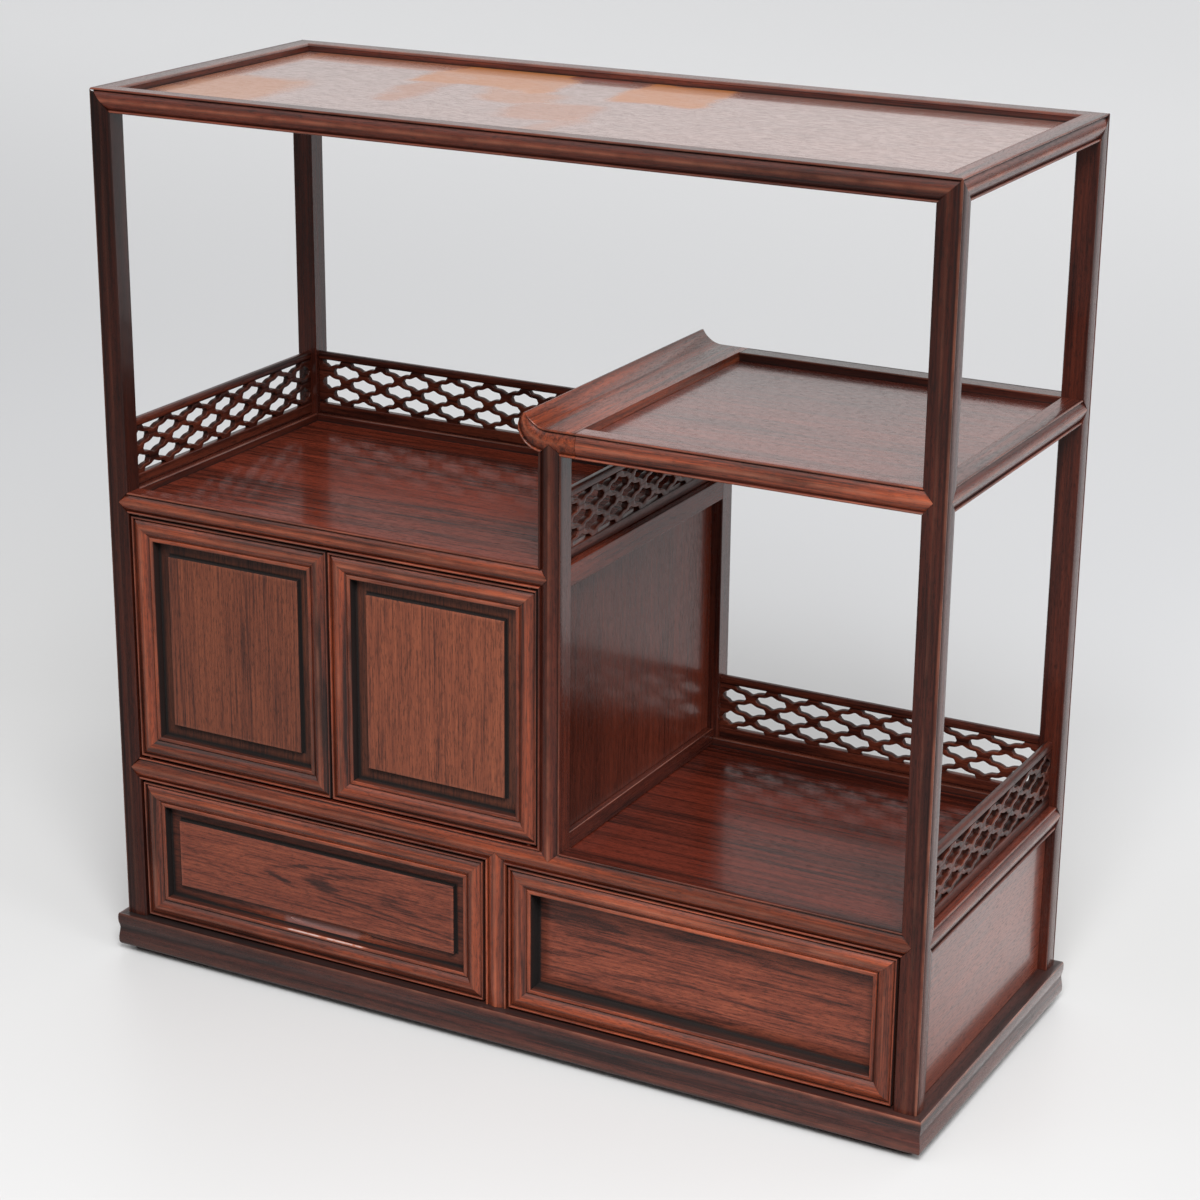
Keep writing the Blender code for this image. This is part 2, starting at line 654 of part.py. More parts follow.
def opening_outline(x, z, left, right, up, down):
    """One opening of the lattice: pointed above and below, blunt at its ends; a side may be cut flat or short."""
    points = [(x + OPENING_LONG * right, z)]
    if up:
        points.append((x + OPENING_SHOULDER * right, z + OPENING_WAIST))
        points.append((x, z + OPENING_HIGH))
        points.append((x - OPENING_SHOULDER * left, z + OPENING_WAIST))
    points.append((x - OPENING_LONG * left, z))
    if down:
        points.append((x - OPENING_SHOULDER * left, z - OPENING_WAIST))
        points.append((x, z - OPENING_HIGH))
        points.append((x + OPENING_SHOULDER * right, z - OPENING_WAIST))
    return points


def gallery(name, length, columns, first, centre, turn):
    """A pierced board standing on a rail; columns are half periods, first is the row pierced at its ends."""
    curve = bpy.data.curves.new(name, "CURVE")
    curve.dimensions = "2D"
    curve.fill_mode = "BOTH"
    curve.extrude = GALLERY_THICK / 2
    half = length / 2
    step = (length - 2 * GALLERY_END) / columns
    outlines = [[(-half, 0.0), (half, 0.0), (half, GALLERY_HEIGHT), (-half, GALLERY_HEIGHT)]]
    for column in range(columns + 1):
        x = step * column - half + GALLERY_END
        left = OPENING_STUB if column == 0 else 1.0
        right = OPENING_STUB if column == columns else 1.0
        for row in range(GALLERY_ROWS + 1):
            if (row + column) % 2 == first:
                z = GALLERY_BASE + GALLERY_ROW * row
                outlines.append(opening_outline(x, z, left, right, row < GALLERY_ROWS, row > 0))
    for outline in outlines:
        spline = curve.splines.new("POLY")
        spline.points.add(len(outline) - 1)
        for point, (x, z) in zip(spline.points, outline):
            point.co = (x, z, 0.0, 1.0)
        spline.use_cyclic_u = True
    shape = bpy.data.objects.new(name + "_curve", curve)
    cutters.objects.link(shape)
    bm = bmesh.new()
    bm.from_mesh(bpy.data.meshes.new_from_object(shape))
    bpy.data.objects.remove(shape, do_unlink=True)
    bmesh.ops.remove_doubles(bm, verts=bm.verts[:], dist=1e-6)
    stand = Matrix.Rotation(turn, 4, "Z") @ Matrix.Rotation(math.pi / 2, 4, "X")
    finish_piece(name, bm, FRAME_WOOD, Matrix.Translation(centre) @ stand)


def build_galleries():
    """Five pierced galleries round the two open shelves."""
    quarter = math.pi / 2
    side_length = INNER_BACK - INNER_FRONT - 2 * GAP
    inset = GALLERY_RECESS + GALLERY_THICK / 2
    left_z = HEAD_TOP + GAP
    right_z = MIDDLE_TOP + GAP
    gallery("gallery_left", side_length, SIDE_COLUMNS, NEXT_ROW, (LEFT_X + inset, 0.0, left_z), quarter)
    gallery("gallery_partition", side_length, SIDE_COLUMNS, NEXT_ROW, (DIVIDER_X, 0.0, left_z), quarter)
    gallery("gallery_right", side_length, SIDE_COLUMNS, NEXT_ROW, (RIGHT_X - inset, 0.0, right_z), quarter)
    length = DIVIDER_LEFT - INNER_LEFT - 2 * GAP
    centre = ((DIVIDER_LEFT + INNER_LEFT) / 2, BACK_Y - inset, left_z)
    gallery("gallery_back_left", length, BACK_LEFT_COLUMNS, BASE_ROW, centre, 0.0)
    length = INNER_RIGHT - DIVIDER_RIGHT - 2 * GAP
    centre = ((DIVIDER_RIGHT + INNER_RIGHT) / 2, BACK_Y - inset, right_z)
    gallery("gallery_back_right", length, BACK_RIGHT_COLUMNS, NEXT_ROW, centre, 0.0)


def mitred_frame(left, right, low, high, front, thick, sink, panel_thick):
    """A moulded frame with mitred corners, grooved inside for its panel."""
    section = [(u, drop) for u, drop in moulded(FRAME_WIDTH)]
    deep = FRAME_WIDTH - PANEL_TONGUE - GAP
    section += [(FRAME_WIDTH, sink - GAP), (deep, sink - GAP), (deep, sink + panel_thick + GAP)]
    section += [(FRAME_WIDTH, sink + panel_thick + GAP), (FRAME_WIDTH, thick), (0.0, thick)]
    corners = ((left, 1, low, 1), (right, -1, low, 1), (right, -1, high, -1), (left, 1, high, -1))
    bm = bmesh.new()
    rings = []
    for x, sx, z, sz in corners:
        rings.append([bm.verts.new((x + sx * u, front + n, z + sz * u)) for u, n in section])
    count = len(section)
    for i in range(4):
        ring, after = rings[i], rings[(i + 1) % 4]
        for k in range(count):
            m = (k + 1) % count
            bm.faces.new((ring[k], after[k], after[m], ring[m]))
    bmesh.ops.recalc_face_normals(bm, faces=bm.faces[:])
    return bm


def stepped_panel(loops):
    """A panel built up from rectangles of (left, right, low, high, y), closed at both ends."""
    bm = bmesh.new()
    rings = []
    for x0, x1, z0, z1, y in loops:
        corners = ((x0, z0), (x1, z0), (x1, z1), (x0, z1))
        rings.append([bm.verts.new((x, y, z)) for x, z in corners])
    bm.faces.new(rings[0])
    bm.faces.new(rings[-1][::-1])
    for ring, after in zip(rings, rings[1:]):
        for i in range(4):
            j = (i + 1) % 4
            bm.faces.new((ring[i], after[i], after[j], ring[j]))
    return bm


def framed_panel(left, right, low, high, front, sink, thick, raised):
    """The panel held in a mitred frame, plain or with a raised field."""
    edge = FRAME_WIDTH - PANEL_TONGUE
    outer = (left + edge, right - edge, low + edge, high - edge)
    loops = [(*outer, front + sink + thick), (*outer, front + sink)]
    if raised:
        edge = FRAME_WIDTH + FIELD_MARGIN
        top = edge + FIELD_BEVEL
        base = (left + edge, right - edge, low + edge, high - edge)
        field = (left + top, right - top, low + top, high - top)
        loops.append((*base, front + sink))
        loops.append((*base, front + sink - FIELD_RISE + FIELD_BEVEL))
        loops.append((*field, front + sink - FIELD_RISE))
    return stepped_panel(loops)


def build_doors():
    """Two framed doors turning on pegs in the rails above and below them."""
    front = FRONT_Y + FRONT_SETBACK
    low = MIDDLE_TOP + DOOR_CLEAR
    high = HEAD_Z - DOOR_CLEAR
    middle = (INNER_LEFT + DIVIDER_LEFT) / 2
    spans = (
        ("door_left", INNER_LEFT + DOOR_GAP, middle - DOOR_GAP / 2, -1),
        ("door_right", middle + DOOR_GAP / 2, DIVIDER_LEFT - DOOR_GAP, 1),
    )
    for name, left, right, hinge in spans:
        axis_x = left + PIVOT_INSET if hinge < 0 else right - PIVOT_INSET
        axis_y = front + PIVOT_BACK
        pivot = pivot_empty(name + "_axis", (axis_x, axis_y, low))
        bm = mitred_frame(left, right, low, high, front, DOOR_THICK, PANEL_SINK, PANEL_THICK)
        frame = finish_piece(name + "_frame", bm, FRAME_WOOD, None, pivot)
        peg = bmesh.new()
        for face, other, sign in ((low, "middle_rail_front", -1), (high, "head_rail_front", 1)):
            reach = DOOR_CLEAR + PEG_LENGTH
            length = reach + PEG_ROOT
            place = Vector((axis_x, axis_y, face + sign * (reach - length / 2)))
            bmesh.ops.create_cone(
                peg, cap_ends=True, segments=PEG_SIDES, radius1=PEG_RADIUS, radius2=PEG_RADIUS,
                depth=length, matrix=Matrix.Translation(place),
            )
            hole = bmesh.new()
            radius = PEG_RADIUS + PEG_PLAY
            length = PEG_LENGTH + DOOR_CLEAR + PEG_PLAY
            place = Vector((axis_x, axis_y, face + sign * length / 2))
            bmesh.ops.create_cone(
                hole, cap_ends=True, segments=PEG_SIDES, radius1=radius, radius2=radius,
                depth=length, matrix=Matrix.Translation(place),
            )
            add_cut(other, hole)
        mesh = bpy.data.meshes.new(name + "_pegs")
        peg.to_mesh(mesh)
        peg.free()
        pegs = bpy.data.objects.new(name + "_pegs", mesh)
        pegs.hide_render = True
        pegs.display_type = "WIRE"
        cutters.objects.link(pegs)
        union = frame.modifiers.new("pegs", "BOOLEAN")
        union.operation = "UNION"
        union.solver = "EXACT"
        union.object = pegs
        bm = framed_panel(left, right, low, high, front, PANEL_SINK, PANEL_THICK, True)
        finish_piece(name + "_panel", bm, PANEL_WOOD, None, pivot)


def build_drawers():
    """Two drawers sliding on the bottom board, guided by the sides and the middle guide."""
    front = FRONT_Y + FRONT_SETBACK
    low = PLINTH_Z + DRAWER_LIFT
    high = MIDDLE_Z - DRAWER_GAP
    half = STILE_WIDTH / 2
    spans = (
        ("drawer_left", INNER_LEFT, -half, True),
        ("drawer_right", half, INNER_RIGHT, False),
    )
    for name, bay_left, bay_right, raised in spans:
        left = bay_left + DRAWER_GAP
        right = bay_right - DRAWER_GAP
        centre = (left + right) / 2
        slide = pivot_empty(name + "_slide", (centre, front, low))
        sink = PANEL_SINK if raised else FLAT_SINK
        thick = PANEL_THICK if raised else FLAT_THICK
        bm = mitred_frame(left, right, low, high, front, DRAWER_THICK, sink, thick)
        finish_piece(name + "_frame", bm, FRAME_WOOD, None, slide)
        bm = framed_panel(left, right, low, high, front, sink, thick, raised)
        finish_piece(name + "_panel", bm, PANEL_WOOD, None, slide)
        if raised:
            pull = bmesh.new()
            bmesh.ops.create_uvsphere(pull, u_segments=PULL_SIDES, v_segments=PULL_RINGS, radius=0.5)
            size = Matrix.Diagonal((PULL_HEIGHT, 2 * PULL_DEPTH, PULL_LENGTH, 1.0))
            place = Vector((centre + PULL_SHIFT, front + sink, low + FRAME_WIDTH + FIELD_MARGIN / 2))
            turn = Matrix.Rotation(math.pi / 2, 4, "Y")
            add_cut(name + "_panel", pull, Matrix.Translation(place) @ turn @ size)
        floor = PLINTH_Z + GAP
        rim = high - DRAWER_DROP
        start = front + DRAWER_THICK + GAP
        stop = BACK_Y - BACK_RECESS - BACK_THICK - DRAWER_BACK_CLEAR
        box_left = left - DRAWER_GAP + DRAWER_PLAY
        box_right = right + DRAWER_GAP - DRAWER_PLAY
        box = block((box_left, start, floor), (box_right, stop, rim))
        low_in = (box_left + DRAWER_SIDE, start - DRAWER_SIDE, floor + DRAWER_FLOOR)
        high_in = (box_right - DRAWER_SIDE, stop - DRAWER_SIDE, rim + DRAWER_SIDE)
        finish_piece(name + "_box", box, INNER_WOOD, None, slide)
        add_cut(name + "_box", block(low_in, high_in))


build_base()
build_posts()
build_top()
build_rails()
build_uprights()
build_curled_end()
build_panels()
build_galleries()
build_doors()
build_drawers()
cut_pieces()
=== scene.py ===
"""Rosewood tea cabinet: finer wooden pieces and their finishes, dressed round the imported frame."""

import logging
import math
from dataclasses import dataclass, field, replace
from enum import Enum
from typing import Callable, Sequence, Union

import bmesh
import bpy
import numpy as np
from mathutils import Matrix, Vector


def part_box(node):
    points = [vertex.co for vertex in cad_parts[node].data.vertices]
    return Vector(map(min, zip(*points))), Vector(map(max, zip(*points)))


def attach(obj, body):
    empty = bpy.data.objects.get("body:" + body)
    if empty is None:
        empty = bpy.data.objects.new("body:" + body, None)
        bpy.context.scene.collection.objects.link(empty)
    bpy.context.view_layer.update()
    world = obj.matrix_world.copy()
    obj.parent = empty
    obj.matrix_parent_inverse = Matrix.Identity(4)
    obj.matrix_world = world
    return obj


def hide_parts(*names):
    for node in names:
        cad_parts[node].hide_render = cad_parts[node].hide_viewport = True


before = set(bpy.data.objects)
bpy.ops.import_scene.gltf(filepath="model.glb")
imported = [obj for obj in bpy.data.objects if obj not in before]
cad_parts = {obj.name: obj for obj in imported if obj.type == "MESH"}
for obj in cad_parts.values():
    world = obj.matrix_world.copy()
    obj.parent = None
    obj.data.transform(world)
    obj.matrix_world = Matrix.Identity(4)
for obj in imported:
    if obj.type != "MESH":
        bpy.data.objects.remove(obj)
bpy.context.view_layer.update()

Array = np.ndarray
Colour = tuple[float, float, float]
Tone = Union[float, tuple[float, ...]]
log = logging.getLogger("tea_cabinet")

BODY = "carcass"
# Clearance of a joint, gap between mitred faces, and easing of a plain edge
GAP = 0.0003
HAIR = 0.00006
EASE = 0.0008
# Shares of the point before, the point itself and the point after in a smoothed line
SMOOTHING = (0.25, 0.5, 0.25)
# Points on a board's round edge, least share of its radius at a corner, and its crown's bounds and its
# rubbing with a painted highlight
EDGE_POINTS = 4
LEAST_CORNER = 0.05
CROWN = (0.05, 0.55)
CROWN_WEAR_AND_HIGHLIGHT = 0.6


def srgb(red: int, green: int, blue: int) -> Colour:
    """Linear colour of an 8-bit display colour."""
    share = np.array((red, green, blue)) / 255.0
    return tuple(np.where(share < 0.04045, share / 12.92, ((share + 0.055) / 1.055) ** 2.4).tolist())


class Grain(Enum):
    """The axis along which the fibres of a piece run."""

    ACROSS = 0
    DEPTH = 1
    UPRIGHT = 2


class Face(Enum):
    """The side of the cabinet which a rail looks out from."""

    FRONT = "front"
    BACK = "back"
    LEFT = "left"
    RIGHT = "right"
    PARTITION = "partition"

    @property
    def wide(self) -> bool:
        """Whether its rails run from left to right."""
        return self in (Face.FRONT, Face.BACK)

    @property
    def grain(self) -> Grain:
        """The axis of its rails."""
        return Grain.ACROSS if self.wide else Grain.DEPTH


def operator(operation: str, reflected: bool = False) -> Callable[["Value", "Number"], "Value"]:
    """A method of Value which adds one Math node.

    Args:
        operation: the node's operation.
        reflected: whether the other operand comes first.

    Returns:
        The method.
    """

    def method(self: "Value", other: "Number") -> "Value":
        """Join the two operands."""
        first, second = (other, self) if reflected else (self, other)
        return self.graph.math(operation, first, second)

    return method


class Value:
    """A shader value; arithmetic on it adds Math nodes to its graph."""

    def __init__(self, graph: "Graph", socket: bpy.types.NodeSocket) -> None:
        """Keep the socket and the graph it belongs to."""
        self.graph = graph
        self.socket = socket

    __add__ = operator("ADD")
    __radd__ = operator("ADD", True)
    __sub__ = operator("SUBTRACT")
    __rsub__ = operator("SUBTRACT", True)
    __mul__ = operator("MULTIPLY")
    __rmul__ = operator("MULTIPLY", True)
    __pow__ = operator("POWER")
    __rpow__ = operator("POWER", True)
    low = operator("MINIMUM")
    high = operator("MAXIMUM")

    def size(self) -> "Value":
        """The value without its sign."""
        return self.graph.math("ABSOLUTE", self, 0.0)

    def rise(self, start: float, stop: float) -> "Value":
        """A soft step from 0 at start to 1 at stop.

        Args:
            start: where it leaves 0.
            stop: where it reaches 1.

        Returns:
            The step.
        """
        settings = {"interpolation_type": "SMOOTHSTEP"}
        sockets = {"Value": self, "From Min": start, "From Max": stop}
        return Value(self.graph, self.graph.node("ShaderNodeMapRange", settings, sockets).outputs["Result"])


Number = Union[Value, float]
Feed = Union[Value, bpy.types.NodeSocket, float, Sequence[float]]


class Graph:
    """The node tree of one material or of the world."""

    def __init__(self, tree: bpy.types.NodeTree) -> None:
        """Start from an empty tree."""
        self.tree = tree
        self.tree.nodes.clear()

    @classmethod
    def of_material(cls, name: str) -> tuple[bpy.types.Material, "Graph"]:
        """A new material and its empty tree.

        Args:
            name: the material's name.

        Returns:
            The material and the graph which fills it.
        """
        made = bpy.data.materials.new(name)
        made.use_nodes = True
        return made, cls(made.node_tree)

    def node(self, kind: str, settings: dict | None = None, sockets: dict | None = None) -> bpy.types.Node:
        """Add any node.

        Args:
            kind: the node's type name.
            settings: its properties, set first; stops gives a colour ramp its (place, colour) pairs.
            sockets: values or links by socket name or number.

        Returns:
            The new node.
        """
        made = self.tree.nodes.new(kind)
        for key, value in (settings or {}).items():
            if key == "stops":
                ramp = made.color_ramp.elements
                while len(ramp) < len(value):
                    ramp.new(1.0)
                for stop, (place, colour) in zip(ramp, value):
                    stop.position = place
                    stop.color = (*colour, 1.0)
            else:
                setattr(made, key, value)
        for key, value in (sockets or {}).items():
            self.feed(made.inputs[key], value)
        return made

    def feed(self, socket: bpy.types.NodeSocket, value: Feed) -> None:
        """Link a value to a socket, or set it there.

        Args:
            socket: the input.
            value: a value, another socket, a number or a row of numbers.
        """
        source = value.socket if isinstance(value, Value) else value
        if isinstance(source, bpy.types.NodeSocket):
            self.tree.links.new(source, socket)
        else:
            socket.default_value = source

    def math(self, operation: str, first: Number, second: Number) -> Value:
        """One Math node on two values."""
        node = self.node("ShaderNodeMath", {"operation": operation}, {0: first, 1: second})
        return Value(self, node.outputs[0])

    def vector(self, operation: str, first: Feed, second: Feed) -> bpy.types.NodeSocket:
        """One Vector Math node on two vectors."""
        return self.node("ShaderNodeVectorMath", {"operation": operation}, {0: first, 1: second}).outputs[0]

    def coordinates(self) -> bpy.types.NodeSocket:
        """Object coordinates, in metres."""
        return self.node("ShaderNodeTexCoord").outputs["Object"]

    def axes(self, vector: bpy.types.NodeSocket) -> tuple[Value, Value, Value]:
        """The three parts of a vector."""
        node = self.node("ShaderNodeSeparateXYZ", None, {0: vector})
        return tuple(Value(self, socket) for socket in node.outputs)

    def attribute(self, name: str) -> Value:
        """A number stored on the mesh; nothing stored reads as 0."""
        return Value(self, self.node("ShaderNodeAttribute", {"attribute_name": name}).outputs["Fac"])

    def noise(
        self, vector: bpy.types.NodeSocket, scale: float, detail: float = 2.0, rough: float = 0.5
    ) -> Value:
        """Soft noise from 0 to 1."""
        sockets = {"Vector": vector, "Scale": scale, "Detail": detail, "Roughness": rough}
        return Value(self, self.node("ShaderNodeTexNoise", None, sockets).outputs[0])

    def mix(self, share: Number, first: Feed, second: Feed) -> bpy.types.NodeSocket:
        """Two colours mixed by a share.

        Args:
            share: how much of the second shows.
            first: a colour or its socket.
            second: the other one.

        Returns:
            The mixed colour.
        """
        settings = {"data_type": "RGBA", "clamp_result": False}
        colours = [(*c, 1.0) if isinstance(c, tuple) else c for c in (first, second)]
        return self.node("ShaderNodeMix", settings, {0: share, 6: colours[0], 7: colours[1]}).outputs[2]

    def shade(self, colour: Feed, share: Number) -> bpy.types.NodeSocket:
        """A colour multiplied by a value."""
        return self.vector("MULTIPLY", colour, share)

    def bump(self, strength: float, distance: float, height: Value) -> bpy.types.NodeSocket:
        """A normal raised by a height."""
        sockets = {"Strength": strength, "Distance": distance, "Height": height}
        return self.node("ShaderNodeBump", None, sockets).outputs[0]

    def surface(self, sockets: dict[str, Feed]) -> None:
        """A Principled shader as the material's surface."""
        shader = self.node("ShaderNodeBsdfPrincipled", None, sockets)
        self.node("ShaderNodeOutputMaterial", None, {"Surface": shader.outputs[0]})


@dataclass(frozen=True)
class Patch:
    """A patch on a board, along x and a second axis, with round corners and a soft edge; most are bleached
    lacquer, a few are painted highlights and painted reflections.
    """

    middle: tuple[float, float]
    half: tuple[float, float]
    colour: Colour
    strength: float
    corner: float = 0.018
    soft: float = 0.004
    wander: bool = True
    second: int = 1


@dataclass(frozen=True)
class Arch:
    """Arched grain: where its point lies along and across a board, how fast it runs out and narrows."""

    along: float
    aside: float
    run: float
    narrow: float
    lines: float = 21.0


# How far a piece's grain is moved along each axis, and the scale and reach of a patch's wandering edge
GRAIN_SHIFT = (1.7, 2.3, 3.1)
DRIFTS = ((11.0, 0.055), (38.0, 0.016), (150.0, 0.004))
# Scales of the fine lines and of the pores; the colour of rubbed lacquer with a painted highlight, and the
# pale colour of a painted highlight, with rubbing, on the finger hollow's stripe
LINE_SCALE = 520.0
PORE_SCALE = 900.0
RUBBED_AND_HIGHLIGHT = srgb(178, 112, 88)
SCRAPED_AND_HIGHLIGHT = srgb(190, 172, 168)


@dataclass(frozen=True)
class Rosewood:
    """Lacquered rosewood: streaks and pores along the grain, rubbed crowns with painted highlights, and
    dark quirks with painted shade.

    broad and bands are the scales of its streaks, stretch and sway draw them out and bend them, and
    cloud, stripe, line and pore are the shares of streaks, bands, fine lines and pores in its tone.
    """

    name: str
    light: Colour
    middle: Colour
    dark: Colour
    gloss: float = 0.27
    broad: float = 34.0
    bands: float = 150.0
    stretch: float = 0.035
    sway: float = 0.012
    cloud: float = 0.7
    stripe: float = 0.8
    pore: float = 0.46
    line: float = 0.5
    shine: float = 0.5
    clear: float = 0.10
    rings: float = 0.0
    arch: Arch | None = None
    patches: tuple[Patch, ...] = ()

    def material(self, grain: Grain) -> bpy.types.Material:
        """The finish with its fibres along one axis, made once for each axis.

        Args:
            grain: the axis of the fibres.

        Returns:
            The material.
        """
        name = self.name + "_" + grain.name.lower()
        if name in bpy.data.materials:
            return bpy.data.materials[name]
        made, graph = Graph.of_material(name)
        self.paint(graph, grain)
        return made

    def fibres(self, graph: Graph, grain: Grain, along: float) -> bpy.types.NodeSocket:
        """Object coordinates, moved piece by piece and drawn out along the grain.

        Args:
            graph: the material's nodes.
            grain: the axis of the fibres.
            along: the scale along that axis.

        Returns:
            The coordinates.
        """
        shift = graph.vector("MULTIPLY", graph.attribute("shift"), GRAIN_SHIFT)
        moved = graph.vector("ADD", graph.coordinates(), shift)
        scale = [1.0, 1.0, 1.0]
        scale[grain.value] = along
        return graph.node("ShaderNodeMapping", None, {"Vector": moved, "Scale": scale}).outputs[0]

    def figure(self, graph: Graph, grain: Grain) -> tuple[bpy.types.NodeSocket, Value, Value]:
        """The grain's colour, its fine lines and its pores.

        Args:
            graph: the material's nodes.
            grain: the axis of the fibres.

        Returns:
            The colour, the fine lines from 0 to 1, and the pores from 0 to 1.
        """
        drawn = self.fibres(graph, grain, self.stretch)
        bend = graph.noise(self.fibres(graph, grain, 0.3), 9.0, 2.0) - 0.5
        swayed = graph.vector("ADD", drawn, graph.vector("MULTIPLY", bend * self.sway, (1.0, 1.0, 1.0)))
        broad = graph.noise(swayed, self.broad, 3.0, 0.55) - 0.5
        bands = graph.noise(swayed, self.bands, 3.0, 0.6) - 0.5
        lines = graph.noise(self.fibres(graph, grain, 0.02), LINE_SCALE, 2.0, 0.65)
        pores = graph.noise(self.fibres(graph, grain, 0.12), PORE_SCALE, 2.0, 0.65).rise(0.50, 0.64)
        tone = broad * self.cloud + bands * self.stripe + (lines - 0.5) * self.line + 0.5
        if self.rings > 0:
            hills = graph.noise(self.fibres(graph, grain, 0.22), 7.0, 1.5, 0.4) + bands * 0.02
            growth = graph.math("SINE", hills * self.rings, 0.0).rise(0.35, 1.0)
            tone = tone - growth * (0.06 + broad.size() * 0.5)
        if self.arch:
            places = graph.axes(graph.coordinates())
            along = places[grain.value] - self.arch.along
            aside = (places[0 if grain is Grain.UPRIGHT else 2] - self.arch.aside) * self.arch.narrow
            hill = along * self.arch.run - aside * aside + bend * 0.9 + bands * 0.3
            waves = graph.math("SINE", (hill.high(0.0) ** 0.5) * self.arch.lines, 0.0)
            arcs = waves.rise(-0.1, 1.0) * hill.rise(0.0, 0.12)
            broken = graph.noise(drawn, 60.0, 3.0, 0.6).rise(0.3, 0.7)
            tone = tone - arcs * (1.0 - hill.rise(0.1, 1.2) * 0.6) * (0.25 + broken * 0.75) * 0.20
        stops = ((0.34, self.dark), (0.48, self.middle), (0.66, self.light))
        colour = graph.node("ShaderNodeValToRGB", {"stops": stops}, {0: tone}).outputs["Color"]
        colour = graph.shade(colour, 1.0 - pores * self.pore)
        return colour, lines, pores

    def fade(self, graph: Graph, colour: bpy.types.NodeSocket) -> tuple[bpy.types.NodeSocket, Number]:
        """Lay the patches of a board over its colour: bleached lacquer, and a few painted highlights and
        painted reflections.

        Args:
            graph: the material's nodes.
            colour: the wood's own colour.

        Returns:
            The colour with its patches, and how much of them shows.
        """
        shown: Number = 0.0
        if not self.patches:
            return colour, shown
        place = graph.coordinates()
        for scale, reach in DRIFTS:
            sockets = {"Vector": graph.coordinates(), "Scale": scale, "Detail": 2.0}
            drift = graph.node("ShaderNodeTexNoise", None, sockets).outputs["Color"]
            aside = graph.vector("SUBTRACT", drift, (0.5, 0.5, 0.5))
            place = graph.vector("ADD", place, graph.vector("MULTIPLY", aside, (reach, reach, 0.0)))
        straight = graph.axes(graph.coordinates())
        swayed = graph.axes(place)
        blotch = graph.noise(graph.coordinates(), 24.0, 3.0, 0.6)
        for patch in self.patches:
            axes = swayed if patch.wander else straight
            x, y = axes[0], axes[patch.second]
            across = ((x - patch.middle[0]).size() - patch.half[0] + patch.corner).high(0.0)
            deep = ((y - patch.middle[1]).size() - patch.half[1] + patch.corner).high(0.0)
            outside = (across * across + deep * deep) ** 0.5 - patch.corner
            cover = (1.0 - outside.rise(-patch.soft, patch.soft)) * patch.strength
            cover = cover * (0.55 + blotch * 0.9).low(1.0)
            colour = graph.mix(cover, colour, patch.colour)
            shown = cover if isinstance(shown, float) else shown.high(cover)
        return colour, shown

    def paint(self, graph: Graph, grain: Grain) -> None:
        """Fill the material's node tree.

        Args:
            graph: the material's nodes.
            grain: the axis of the fibres.
        """
        colour, lines, pores = self.figure(graph, grain)
        colour, faded = self.fade(graph, colour)
        # Above 0 the stored value mixes in a pale colour: rubbing with a painted highlight on crowns, beads
        # and ridges, and from 1.6 up the pale painted highlight of the finger hollow's stripe.
        rub = graph.attribute("rub")
        dirt_and_shade = rub.low(0.0)
        wear_and_highlight = rub.high(0.0) * (0.35 + graph.noise(graph.coordinates(), 26.0, 3.0).rise(0.3, 0.7))
        colour = graph.mix((wear_and_highlight * 0.30).low(0.85), colour, RUBBED_AND_HIGHLIGHT)
        broken = graph.noise(graph.coordinates(), 120.0, 2.0).rise(0.36, 0.56)
        colour = graph.mix(rub.rise(1.6, 2.6) * broken * (0.2 + lines).low(0.7), colour, SCRAPED_AND_HIGHLIGHT)
        # Below 0 it darkens the colour: grime with painted shade in quirks, grooves, recesses and gaps.
        colour = graph.shade(colour, (1.0 + dirt_and_shade * 0.45).high(0.03))
        # The stored tone: each piece's own tone, with painted shade and painted light set piece by piece.
        colour = graph.shade(colour, 1.0 + graph.attribute("tone"))
        cloud = graph.noise(graph.coordinates(), 11.0, 3.0)
        rough = self.gloss + (cloud - 0.5) * 0.10 + pores * 0.10 + (lines - 0.5) * 0.06
        rough = rough - wear_and_highlight * 0.05 - dirt_and_shade * 0.2
        if isinstance(faded, Value):
            rough = rough + faded * 0.25
        graph.surface(
            {
                "Base Color": colour,
                "Roughness": rough,
                "Normal": graph.bump(0.22, 0.00025, lines * 0.35 - pores * 0.8),
                "Specular IOR Level": self.shine,
                "Coat Weight": (1.0 + dirt_and_shade * 0.5).high(0.0) * (0.6 * self.shine) - faded * 0.25,
                "Coat Roughness": self.clear,
            }
        )


@dataclass(frozen=True)
class PlainWood(Rosewood):
    """Bare pale wood of the drawer boxes and backs, with quiet grain and no lacquer."""

    def paint(self, graph: Graph, grain: Grain) -> None:
        """Fill the node tree with a dry, open grain.

        Args:
            graph: the material's nodes.
            grain: the axis of the fibres.
        """
        colour, lines, pores = self.figure(graph, grain)
        smoke = graph.noise(graph.coordinates(), 7.0, 3.0).rise(0.45, 0.8)
        colour = graph.mix(smoke * 0.25, colour, self.dark)
        graph.surface(
            {
                "Base Color": graph.shade(colour, 1.0 + graph.attribute("tone")),
                "Roughness": self.gloss + (lines - 0.5) * 0.15,
                "Normal": graph.bump(0.3, 0.0004, lines - pores),
                "Specular IOR Level": 0.35,
            }
        )


